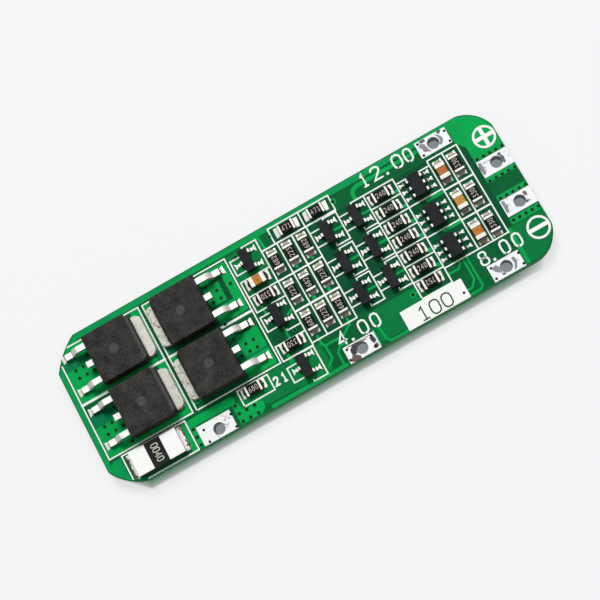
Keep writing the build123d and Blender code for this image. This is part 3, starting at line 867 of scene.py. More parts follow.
@dataclass
class CopperRelief:
    """Copper areas and traces that show through the solder mask.

    The corners repeat the blank's: side in X and in Y, cut along X and along Y and how far the cut bulges.
    """

    finishes: Finishes
    trace: float = 0.3
    link: float = 0.28
    stub: float = 0.45
    halo: tuple[float, float] = (0.2, 0.4)
    trench_height: float = 0.002
    pour_height: float = 0.008
    copper_height: float = 0.022
    half: tuple[float, float] = (30.0, 10.0)
    inset: float = 0.12
    corners: tuple[tuple[int, int, float, float, float], ...] = (
        (1, 1, 3.3, 3.05, 0.62), (-1, 1, 3.66, 3.5, 0.3), (-1, -1, 3.9, 3.0, 0.55), (1, -1, 3.56, 2.9, 0.75))

    def build(self) -> None:
        """Makes the relief and dresses the blank."""
        dress("circuit_board", self.finishes.laminate)
        trench_and_shade = Relief(DECK, DECK + self.trench_height)
        self.trenches(trench_and_shade)
        trench_and_shade.piece("mask_trenches", [self.finishes.trench_and_shade, self.finishes.teal], "laminate")
        pour = Relief(DECK, DECK + self.pour_height)
        self.pours(pour)
        pour.piece("ground_pour", [self.finishes.pour], "laminate")
        copper = Relief(DECK, DECK + self.copper_height)
        self.border(copper)
        self.left_areas(copper)
        self.right_areas(copper)
        self.traces(copper)
        copper.piece("copper_relief", [self.finishes.copper, self.finishes.strip], "laminate")

    def corner(self, number: int, steps: int = 6) -> list[Point]:
        """One bulged corner of the blank, inset, counter-clockwise.

        Args:
            number: which corner, counter-clockwise from the one at +X, +Y.
            steps: how many straight runs it is drawn with.

        Returns:
            The points along it.
        """
        side_x, side_y, cut_x, cut_y, bulge = self.corners[number]
        length = math.hypot(cut_x, cut_y)
        points = []
        for k in range(steps + 1):
            t = k / steps
            out = bulge * 4 * t * (1 - t) - self.inset
            points.append((side_x * (self.half[0] - cut_x * t + out * cut_y / length),
                           side_y * (self.half[1] - cut_y * (1 - t) + out * cut_x / length)))
        return points if side_x == side_y else points[::-1]

    def border(self, relief: Relief) -> None:
        """The bright copper round the left end, along the top and down to the upper power land."""
        relief.plate([(21.0, 9.88)] + self.corner(1) + self.corner(2)
                     + [(-26.3, -9.72), (-27.6, -9.2), (-27.95, -8.9), (-27.95, -6.15), (-29.0, -6.15),
                        (-29.35, -6.6), (-29.35, 7.2), (-27.8, 8.75), (-26.2, 9.15), (21.0, 9.15)], slot=1)
        relief.plate(self.corner(0) + [(21.0, 9.88), (21.0, 9.15), (24.9, 9.15), (25.1, 8.9), (25.1, 7.1),
                                       (25.95, 6.0), (25.95, 3.85), (29.88, 3.85)])

    def pours(self, relief: Relief) -> None:
        """Wide areas of middle depth."""
        relief.plate([(25.1, -5.05), (25.1, -9.88)] + self.corner(3) + [(29.88, -5.05)])
        relief.plate([(5.9, -5.6), (5.9, -9.5), (9.15, -9.5), (9.15, -7.35), (12.35, -7.35), (12.35, -5.6)])
        relief.areas((-12.4, -9.0, -9.2, -6.3), (-9.3, -9.3, -5.5, -5.9), (-5.4, -9.4, -0.6, -5.9),
                     (-5.6, 5.3, -1.45, 8.9))

    def trenches(self, relief: Relief) -> None:
        """Dark gaps between copper areas, darker areas between the parts that are painted shade, and the
        deeper planes beside the power transistors.
        """
        for points, width in (([(-12.3, -6.2), (-12.3, -7.7), (-11.9, -8.1)], 0.45),
                              ([(25.55, 6.1), (25.55, -5.0)], 0.75),
                              ([(-17.5, -2.9), (-17.5, 3.1)], 0.55),
                              ([(-7.35, 6.8), (-7.35, 4.3)], 0.5)):
            relief.strokes(width, points)
        # These areas darken the mask between the parts, as painted shade.
        relief.areas((16.6, -5.4, 21.05, 7.0), (21.2, -5.4, 25.0, 6.85), (12.55, -5.1, 16.4, 7.0),
                     (4.8, -5.1, 12.4, 7.1), (-1.3, -5.35, 4.6, 7.2), (0.6, 7.4, 8.7, 9.25),
                     (-5.3, -9.5, -1.6, -5.9), (-5.3, -3.6, -1.5, 1.0))
        relief.areas((-29.05, 6.15, -25.7, 7.15), (-29.05, -1.55, -25.7, -0.15), (-18.4, 1.9, -17.8, 3.0),
                     (-17.2, 1.9, -16.8, 3.0), (-10.0, -3.0, -9.2, 0.2), (-9.2, -3.4, -6.1, -2.9),
                     slot=1, corner=0.05)

    def left_areas(self, relief: Relief) -> None:
        """Bright copper round the power transistors and the shunt."""
        relief.areas((-29.05, 2.45, -25.3, 6.1), (-29.05, 1.85, -18.5, 2.6))
        relief.plate([(-29.05, 7.2), (-25.3, 7.2), (-25.3, 8.85), (-27.7, 8.85), (-29.05, 7.5)])
        relief.areas((-29.05, -5.55, -25.3, -1.6), (-25.4, -5.6, -17.85, -4.9), (-18.9, 3.05, -17.85, 8.8),
                     (-18.9, -5.0, -17.85, 1.5), (-17.1, 3.05, -16.0, 8.7), (-17.1, -5.0, -16.0, 1.5),
                     (-9.9, 2.0, -6.0, 4.0), (-9.9, 4.3, -7.75, 6.9), (-7.05, 3.9, -5.95, 7.3),
                     (-9.9, 7.2, -6.0, 8.6), (-9.15, -2.95, -6.15, -0.2), (-9.9, -5.4, -6.1, -3.3))
        relief.plate([(-19.0, -6.2), (-13.0, -6.2), (-12.65, -6.55), (-12.65, -6.95), (-12.95, -7.25),
                      (-19.0, -7.25)])
        relief.areas((-19.95, -9.8, -19.25, -6.2))
        relief.plate([(-13.3, -7.2), (-12.5, -7.2), (-12.4, -8.2), (-11.7, -8.5), (-10.6, -8.0),
                      (-9.7, -8.6), (-9.9, -9.4), (-10.6, -9.85), (-13.3, -9.85)])
        relief.areas((-18.95, -9.88, -18.1, -7.3))

    def right_areas(self, relief: Relief) -> None:
        """Bright copper between the two power lands."""
        relief.areas((25.95, 0.85, 29.88, 1.5), (25.95, -1.65, 29.88, -1.0), (25.95, -4.95, 29.88, -4.1))
        relief.areas((25.1, -9.85, 25.6, -5.1), corner=0.02)
        relief.plate([(5.75, -9.7), (5.75, -7.6), (5.55, -7.5), (5.55, -9.7)])

    def traces(self, relief: Relief) -> None:
        """Single traces."""
        fine = self.trace
        for points, width in (
                ([(-9.0, -9.75), (1.0, -9.75)], self.stub),
                ([(-13.0, 9.4), (-1.6, 9.4), (-1.0, 8.9), (-0.85, 7.4)], 0.35),
                ([(-4.5, 1.4), (-4.5, 0.2)], fine), ([(-4.55, -5.3), (-4.55, -6.5)], 0.5),
                ([(-3.45, -2.1), (-3.45, -3.6)], fine), ([(-2.3, -1.0), (-1.4, -0.6)], fine),
                ([(-0.45, -5.0), (-0.45, -6.1), (-0.2, -6.5), (-0.15, -8.2), (-1.0, -8.9)], fine),
                ([(-0.2, -6.5), (2.3, -6.5), (3.6, -5.6)], fine),
                ([(0.7, -9.75), (0.75, -8.0), (1.3, -7.4), (2.2, -7.4)], fine),
                ([(3.6, 3.6), (3.6, 4.1)], self.stub), ([(3.5, -0.9), (3.5, -0.2)], self.stub),
                ([(1.45, 3.6), (1.45, 4.1)], self.stub), ([(1.45, -0.9), (1.45, -0.2)], self.stub),
                ([(3.6, -4.9), (3.6, -5.7)], fine), ([(6.3, -7.6), (6.4, -8.0)], fine),
                ([(11.5, 7.3), (11.5, 7.9), (11.75, 8.35), (12.3, 8.6), (20.5, 8.6)], 0.5),
                ([(12.6, -6.35), (12.1, -6.35)], self.link),
                ([(6.4, -8.0), (6.5, -9.2), (6.9, -9.8), (9.3, -9.8)], fine),
                ([(16.5, -6.35), (17.9, -6.35), (18.4, -5.9), (18.4, -5.5)], self.link),
                ([(18.9, -5.6), (18.9, -8.3), (18.2, -9.1), (17.6, -9.1)], self.link),
                ([(19.4, -5.6), (19.4, -9.4), (19.0, -9.75), (17.6, -9.75)], self.link),
                ([(18.8, 2.7), (21.0, 2.7)], 0.4), ([(18.7, -1.5), (21.0, -1.5)], 0.4)):
            relief.strokes(width, points)
        for x, y in ((9.0, 8.35), (11.75, -6.35)):
            relief.ring(x, y, *self.halo)
        for y in (5.2, 1.05, -3.2):
            relief.strokes(self.link, [(7.5, y), (8.5, y)], [(11.35, y), (12.35, y)])
        for y in (5.55, 3.5, 1.45, -0.6, -2.65, -4.7):
            relief.strokes(self.stub, [(15.95, y), (16.35, y)])


@dataclass
class Vias:
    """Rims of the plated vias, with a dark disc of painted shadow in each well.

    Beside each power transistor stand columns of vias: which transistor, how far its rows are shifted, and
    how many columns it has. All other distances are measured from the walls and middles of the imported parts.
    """

    finishes: Finishes
    radius: float = 0.27
    well: float = 0.18
    height: float = 0.04
    sunk: float = 0.003
    pitch: float = 1.04
    columns: tuple[tuple[str, float, int], ...] = (
        ("lower_left", -0.45, 3), ("lower_right", -0.15, 3), ("upper_left", 0, 3), ("upper_right", 0, 2))
    body_gap: float = 0.57
    body_rows: tuple[float, float] = (-0.6, 0.44)
    body_single: float = 1.5
    land_count: int = 5
    land_start: float = 0.35
    land_pitch: float = 0.84
    land_rows: tuple[float, float] = (1.4, -1.65)
    zero_start: float = -0.85
    zero_columns: tuple[float, float] = (-2.6, 3.1)
    singles: tuple[Point, ...] = ((-25.7, -5.05), (-9.4, 1.8), (-6.5, 5.8), (-4.5, 8.4), (0.25, 8.45),
                                  (9.0, 8.35), (-2.45, -3.0), (11.75, -6.35))

    def build(self) -> None:
        """Makes every via rim."""
        relief = Relief(DECK, DECK + self.height)
        for x, y in self.places():
            relief.ring(x, y, self.well, self.radius, sides=14)
            # A dark disc in each well is painted shadow.
            relief.disc(x, y, self.well, slot=1, lift=-self.sunk, sides=12)
        relief.piece("via_rims", [self.finishes.via_rim, self.finishes.hole_shadow], "laminate")

    def places(self) -> list[Point]:
        """Middle of every via on the board, but for the one under the label block."""
        found: list[Point] = []
        for corner, shift, columns in self.columns:
            site = Site.of(f"power_transistor_{corner}_body")
            out = -1 if "left" in corner else 1
            wall = site.low.x if out < 0 else site.high.x
            for k in range(columns):
                x = wall + out * (self.body_gap + k * self.pitch)
                found += [(x, site.middle.y + shift + row) for row in self.body_rows]
            found.append((wall + out * self.body_gap, site.middle.y + self.body_single))
        for land in ("terminal_positive", "terminal_negative"):
            site = Site.of(land)
            for k in range(self.land_count):
                x = site.low.x + self.land_start + k * self.land_pitch
                found += [(x, site.middle.y + row) for row in self.land_rows]
        zero = Site.of("terminal_zero_volt").middle
        rows = [zero.y + self.zero_start + k * self.pitch for k in range(3)]
        found += [(zero.x + column, y) for column in self.zero_columns for y in rows]
        last = zero.x + self.zero_columns[-1]
        found += [(last + k * self.pitch, y) for k in (1, 2) for y in rows[:2]]
        return found + list(self.singles)


@dataclass
class Print:
    """White print: frames and brackets round the parts, and the two polarity signs."""

    finishes: Finishes
    pen: float = 0.17
    grid_pen: float = 0.21
    filter_pen: float = 0.22
    row_pen: float = 0.26
    power_pen: float = 0.31
    tick: float = 1.25
    hooks: tuple[float, float] = (0.25, 0.3)
    ring: tuple[float, float] = (1.15, 1.43)
    bar: tuple[float, float] = (1.2, 0.24)

    def build(self) -> None:
        """Makes the print."""
        relief = Relief(DECK, DECK + PRINT_HEIGHT)
        for draw in (self.power_frames, self.bottom_left, self.left_column, self.grid, self.top_row,
                     self.transistor_brackets, self.balance, self.chips, self.signs):
            draw(relief)
        relief.piece("white_print", [self.finishes.ink], "laminate")

    def power_frames(self, relief: Relief) -> None:
        """Frames round the four power transistors."""
        relief.strokes(self.pen,
                       [(-29.19, 7.14), (-29.19, -5.68), (-17.74, -5.68), (-17.74, 8.93), (-27.6, 8.93)],
                       [(-17.2, -5.67), (-17.2, 8.84), (-5.77, 8.84), (-5.77, -5.67), (-17.2, -5.67)])
        relief.strokes(self.power_pen, [(-29.2, 1.67), (-17.74, 1.67)], [(-17.2, 1.61), (-5.77, 1.61)])

    def bottom_left(self, relief: Relief) -> None:
        """Frames round the shunt and the sense resistor."""
        relief.strokes(self.pen,
                       [(-27.71, -9.12), (-27.71, -6.04), (-19.12, -6.04), (-19.12, -9.9), (-26.0, -9.9)],
                       [(-11.97, -8.11), (-11.97, -6.07), (-7.86, -6.07), (-7.86, -8.11), (-11.97, -8.11)])

    def left_column(self, relief: Relief) -> None:
        """Frames and brackets of the column left of the grid."""
        relief.strokes(self.pen,
                       [(-1.38, 9.0), (-1.38, -5.7)],
                       [(-4.0, 8.1), (-5.36, 8.1), (-5.36, 6.17), (-4.0, 6.17)],
                       [(-3.29, 8.8), (-3.29, 9.0), (-1.38, 9.0)],
                       [(-1.38, 5.21), (-5.39, 5.21), (-5.39, 3.14), (-1.38, 3.14)],
                       [(-5.39, 3.14), (-5.39, 1.04), (-4.05, 1.04)],
                       [(-3.3, 1.17), (-1.38, 1.17)],
                       [(-4.07, 0.29), (-5.36, 0.29), (-5.36, -1.67), (-4.07, -1.67)],
                       [(-3.21, -2.45), (-3.21, -2.64), (-1.4, -2.64)],
                       [(-1.38, -3.69), (-5.43, -3.69), (-5.43, -5.71), (-1.38, -5.71)],
                       [(-4.2, -6.64), (-5.46, -6.64), (-5.46, -8.57), (-4.2, -8.57)],
                       [(-3.29, -6.0), (-3.29, -5.79), (-1.47, -5.79), (-1.47, -9.54), (-3.29, -9.54),
                        (-3.29, -9.3)])

    def grid(self, relief: Relief) -> None:
        """Frames of the divider resistors."""
        relief.strokes(self.pen, [(0.71, 7.3), (0.71, -5.43)], [(4.71, 7.3), (4.71, -5.43)],
                       [(-1.38, -5.43), (4.71, -5.43)])
        relief.strokes(self.grid_pen, [(-1.4, 7.3), (8.79, 7.3)], [(2.71, 7.3), (2.71, -5.43)],
                       [(-1.38, 3.1), (4.71, 3.1)])
        relief.strokes(self.row_pen, [(-1.38, -1.15), (4.71, -1.15)])

    def top_row(self, relief: Relief) -> None:
        """Frames of the two resistors above the grid."""
        relief.strokes(self.pen, [(0.5, 7.3), (0.5, 9.36), (8.79, 9.36), (8.79, 7.3)],
                       [(4.64, 7.3), (4.64, 9.36)])

    def transistor_brackets(self, relief: Relief) -> None:
        """Brackets of the middle and right transistor columns."""
        upper, lower = self.hooks
        for high, low in ((6.24, 4.26), (2.04, 0.1), (-2.19, -4.1)):
            for left in (4.71, 8.67):
                relief.strokes(self.pen, *([(left, y), (left + self.tick, y)] for y in (high, low)))
        for high, low in ((7.11, 3.34), (2.93, -0.9), (-1.26, -5.09)):
            for inner, outer in ((6.9, 8.67), (10.75, 12.47)):
                relief.strokes(self.pen, [(inner, high - upper), (inner, high), (outer, high), (outer, low),
                                          (inner, low), (inner, low + lower)])

    def balance(self, relief: Relief) -> None:
        """Frames of the balance resistors and the supply resistor."""
        relief.strokes(self.pen, [(12.47, 7.11), (12.47, -7.2)], [(16.5, 7.11), (16.5, -7.36)],
                       *([(12.47, y), (16.5, y)]
                         for y in (7.11, 5.07, 3.04, 1.0, -1.04, -3.1, -5.21, -7.36)))

    def chips(self, relief: Relief) -> None:
        """Frames of the protection chips and the filter parts."""
        relief.strokes(self.pen, [(16.5, 3.04), (21.1, 3.04)], [(16.5, -1.24), (21.1, -1.24)],
                       [(16.5, -5.46), (25.2, -5.46)], [(21.11, 6.93), (21.11, -5.5)],
                       [(23.12, 6.93), (23.12, -5.5)], [(25.11, 6.93), (25.11, -5.5)],
                       [(21.11, 6.93), (25.11, 6.93)])
        relief.strokes(self.filter_pen, [(21.11, 2.75), (25.11, 2.75)], [(21.11, -1.43), (25.11, -1.43)])
        relief.strokes(self.pen, [(16.64, 6.31), (17.93, 6.31)], [(19.64, 6.31), (21.0, 6.31)])

    def signs(self, relief: Relief) -> None:
        """Plus and minus signs in rings, beside the two power lands."""
        reach, half = self.bar
        corners = ((-reach, -half), (reach, -half), (reach, half), (-reach, half))
        for x, y, turns in ((28.44, 6.08, (0, 90)), (28.44, -6.71, (0,))):
            relief.ring(x, y, *self.ring)
            for turn in turns:
                bar = Spot(x, y, turn)
                relief.plate([bar.put(corner) for corner in corners])


@dataclass
class Legends:
    """Plain numerals on the board and the white block behind one of them.

    The decimal point is a box, measured from the lower left corner of its cell.
    """

    finishes: Finishes
    numerals: Numerals = Numerals(0.23)
    margin: float = 0.1
    point: Box = (0.1, -0.1, 0.45, 0.22)
    cut: float = 0.05
    block: Box = (9.31, -9.95, 17.54, -7.43)
    block_height: float = 0.05
    block_dot: Point = (17.04, -9.14)
    label: Numerals = Numerals()
    label_middle: Point = (13.325, -8.875)
    label_size: Point = (1.15, 1.65)
    label_pitch: float = 1.6
    label_height: float = 0.01

    def build(self) -> None:
        """Makes the numerals and the block."""
        relief = Relief(DECK, DECK + PRINT_HEIGHT)
        left, low, right, high = self.point
        for figures, y0, y1, cells in (
                ("12.00", 7.95, 9.55,
                 ((13.0, 13.9), (14.5, 15.8), (16.1, 16.7), (17.4, 18.7), (19.0, 20.1))),
                ("4.00", -7.55, -5.95, ((1.35, 2.5), (2.8, 3.4), (4.2, 5.4), (5.85, 7.0))),
                ("8.00", -7.55, -5.95, ((20.45, 21.65), (21.85, 22.35), (23.3, 24.45), (24.95, 26.1))),
                ("21", -7.85, -6.85, ((-7.6, -6.9), (-6.55, -5.9)))):
            for figure, (x0, x1) in zip(figures, cells):
                if figure == ".":
                    relief.areas((x0 + left, y0 + low, x0 + right, y0 + high), corner=self.cut)
                else:
                    corner = Spot(x0 + self.margin, y0)
                    self.numerals.draw(relief, figure, corner, x1 - x0 - 2 * self.margin, y1 - y0)
        relief.piece("legend_numerals", [self.finishes.ink], "laminate")
        block = Relief(DECK, DECK + self.block_height)
        block.areas(self.block, corner=self.cut)
        block.piece("label_block", [self.finishes.ink], "laminate")
        deck = DECK + self.block_height
        marks = Relief(deck, deck + self.label_height)
        self.label.code(marks, "100", Spot(*self.label_middle), *self.label_size, self.label_pitch)
        marks.disc(*self.block_dot, self.label.pen)
        marks.piece("label_numerals", [self.finishes.dark_ink], "laminate")


# Parts


@dataclass
class Lands:
    """Tinned wire lands with stains on them, and dark dots of painted shadow in their vias."""

    finishes: Finishes
    top: float = DECK + 0.06
    dot_height: float = 0.006
    stain_height: float = 0.004
    dot: float = 0.17
    sides: int = 12
    raggedness: tuple[float, float] = (0.45, 1.1)

    def build(self) -> None:
        """Dresses the lands and makes their marks."""
        for node in nodes_like("terminal_"):
            dress(node, self.finishes.land)
        relief = Relief(self.top, self.top + self.dot_height)
        for x, y in ((-17.57, -8.14), (-17.57, -9.71), (-13.86, -8.07), (-13.93, -9.71),
                     (21.17, 9.29), (21.17, 7.71), (24.74, 9.14), (24.74, 7.71),
                     (21.21, -8.21), (21.14, -9.6), (24.86, -8.19), (24.79, -9.6),
                     (1.81, -8.21), (5.1, -8.14), (1.6, -9.5), (5.0, -9.5)):
            # Dark dots of painted shadow where vias pass through the lands.
            relief.disc(x, y, self.dot, sides=self.sides)
        relief.piece("land_via_shadows", [self.finishes.hole_shadow], "tinned_land")
        self.stains()

    def stains(self) -> None:
        """Dull ragged stains round the wire holes: round ones first, then drawn outlines."""
        chance = random.Random(3)
        relief = Relief(self.top, self.top + self.stain_height)
        for x, y, wide, tall in (
                (26.25, 2.75, 0.24, 0.95), (29.0, 2.5, 0.3, 0.65), (28.9, 3.3, 0.25, 0.3),
                (26.3, -2.8, 0.22, 0.8), (29.1, -2.35, 0.28, 0.4), (28.9, -3.3, 0.3, 0.25),
                (21.85, 9.35, 0.45, 0.35), (21.7, 8.3, 0.4, 0.35), (24.1, 9.45, 0.3, 0.35),
                (23.7, 8.05, 0.3, 0.2), (21.75, -8.6, 0.25, 0.6), (24.05, -8.7, 0.25, 0.55),
                (22.2, -9.55, 0.3, 0.2), (-14.25, -8.35, 0.14, 0.12), (2.2, -9.2, 0.25, 0.3)):
            relief.plate([(x + wide * cos * chance.uniform(*self.raggedness),
                           y + tall * sin * chance.uniform(*self.raggedness))
                          for cos, sin in circle(self.sides)])
        for stain, outline in (
                (Stain.SLATE, [(2.12, -8.45), (2.5, -8.12), (4.3, -8.1), (4.5, -8.2), (4.1, -8.3),
                               (3.6, -8.15), (3.05, -8.3), (2.78, -8.7), (2.7, -9.2), (2.4, -9.2),
                               (2.1, -9.0)]),
                (Stain.SLATE, [(4.75, -8.25), (5.35, -8.2), (5.35, -8.95), (5.0, -9.15), (4.85, -8.8)]),
                (Stain.SCORCH, [(1.65, -9.65), (1.95, -9.25), (2.6, -9.3), (2.95, -9.6), (2.85, -9.93),
                                (2.1, -9.93), (1.7, -9.85)]),
                (Stain.SCORCH, [(4.65, -9.55), (5.0, -9.2), (5.4, -9.15), (5.4, -9.6), (4.95, -9.8)]),
                (Stain.SCORCH, [(1.9, -7.98), (5.2, -7.95), (5.2, -8.05), (1.9, -8.06)]),
                (Stain.TARNISH, [(21.1, 8.9), (21.5, 8.25), (21.9, 7.8), (22.3, 7.75), (22.0, 8.3),
                                 (21.9, 8.9), (21.4, 9.2)]),
                (Stain.TARNISH, [(23.5, 9.4), (23.95, 9.1), (24.2, 8.6), (24.0, 8.1), (23.5, 7.75),
                                 (23.65, 8.2), (23.75, 8.6), (23.65, 9.0)]),
                (Stain.TARNISH, [(21.2, -8.3), (21.75, -8.1), (22.2, -8.6), (22.15, -9.3), (21.7, -9.1),
                                 (21.4, -8.8)]),
                (Stain.TARNISH, [(23.8, -8.2), (24.15, -8.6), (24.2, -9.1), (23.85, -9.6), (23.5, -9.8),
                                 (23.75, -9.35), (23.9, -8.9)]),
                (Stain.TARNISH, [(26.1, 3.6), (26.5, 3.5), (26.6, 2.8), (26.45, 2.0), (26.15, 2.1)]),
                (Stain.TARNISH, [(26.1, -1.85), (26.5, -1.9), (26.6, -2.7), (26.4, -3.5), (26.1, -3.4)])):
            relief.plate(self.ragged(outline, chance), stain.value)
        finishes = [getattr(self.finishes, stain.name.lower()) for stain in Stain]
        relief.piece("land_stains", finishes, "tinned_land")

    @staticmethod
    def ragged(outline: list[Point], chance: random.Random, steps: int = 3,
               jitter: float = 0.05) -> list[Point]:
        """An outline with uneven edges.

        Args:
            outline: corners of the stain, in millimetres.
            chance: source of the unevenness.
            steps: short runs per side.
            jitter: how far each point may move.

        Returns:
            The uneven outline.
        """
        points = []
        for (x0, y0), (x1, y1) in zip(outline, outline[1:] + outline[:1]):
            for k in range(steps):
                t = k / steps
                points.append((x0 + (x1 - x0) * t + chance.uniform(-jitter, jitter),
                               y0 + (y1 - y0) * t + chance.uniform(-jitter, jitter)))
        return points


@dataclass
class PowerTransistors:
    """Four moulded power transistors on their metal frames."""

    finishes: Finishes

    def build(self) -> None:
        """Dresses the bodies and frames."""
        for node in nodes_like("power_transistor"):
            dress(node, self.finishes.frame if node.endswith("_frame") else self.finishes.power_body)


@dataclass
class Shunt:
    """Current shunt: bright feet and a dark coating with a plain code."""

    finishes: Finishes
    code: str = "0040"
    pen: float = 0.1
    figure: float = 0.4
    height: float = 0.86
    pitch: float = 0.58

    def build(self) -> None:
        """Dresses the bridge and its coating and makes the code."""
        dress("shunt_element", self.finishes.bridge)
        dress("shunt_coating", self.finishes.bridge_coat)
        site = Site.of("shunt_coating")
        relief = Relief(site.high.z, site.high.z + 0.008)
        spot = Spot(site.middle.x + 0.06, site.middle.y, -90)
        Numerals(self.pen).code(relief, self.code, spot, self.figure, self.height, self.pitch)
        relief.piece("shunt_code", [self.finishes.code_ink], "shunt_coating")


@dataclass
class ChipParts:
    """Chip resistors with plain codes, and chip capacitors."""

    finishes: Finishes
    pen: float = 0.055
    figure: float = 0.25
    height: float = 0.6
    pitch: float = 0.43
    depth: float = 0.012

    def build(self) -> None:
        """Dresses the chip parts and makes the codes."""
        relief = Relief(0, 0)
        for node in nodes_like(*RESISTORS):
            site = Site.of(node)
            dress(node, self.finishes.resistor[site.axis])
            relief.bottom = site.high.z - self.depth
            relief.top = site.high.z
            spot = Spot(site.middle.x, site.middle.y, self.turn(node))
            Numerals(self.pen).code(relief, self.figures(node), spot, self.figure, self.height, self.pitch)
        relief.piece("resistor_codes", [self.finishes.code_ink], "chip_resistor")
        for node in nodes_like(*CAPACITORS):
            dress(node, self.finishes.capacitor[node])

    @staticmethod
    def turn(node: str) -> float:
        """How far the code of a resistor is turned."""
        if node.startswith(("gate", "supply")):
            return 180
        if node.startswith(("divider", "filter")):
            return 90
        return 0

    @staticmethod
    def figures(node: str) -> str:
        """The plain code of a resistor."""
        kind = node.split("_")[0]
        if kind == "divider":
            return ("223", "682")[(int(node[-1]) + (node[-2] == "b")) % 2]
        return {"top": "471", "gate": "330", "balance": "240", "supply": "752", "sense": "680",
                "filter": "330"}[kind]


@dataclass
class SmallPackages:
    """Small transistors and protection chips."""

    finishes: Finishes

    def build(self) -> None:
        """Dresses the bodies and leads."""
        for node in nodes_like(*TRANSISTORS, *CHIPS):
            dress(node, self.finishes.small_body)
        dress("transistor_leads", self.finishes.fine_lead)
        dress("chip_leads", self.finishes.chip_lead)


# Solder


@dataclass(frozen=True)
class Joint:
    """One solder joint in front of a terminal face.

    The face stands at the spot and looks along its turn. The joint runs back under the part and out beyond
    the face. It widens by its flare and narrows at its waist. Shine says how bright its painted highlight is,
    across from -1 to 1 and out from 0 to 1.
    """

    spot: Spot
    under: float
    beyond: float
    width: float
    height: float
    flare: float
    shine: Callable[[float, float], float]
    waist: float = 0.0


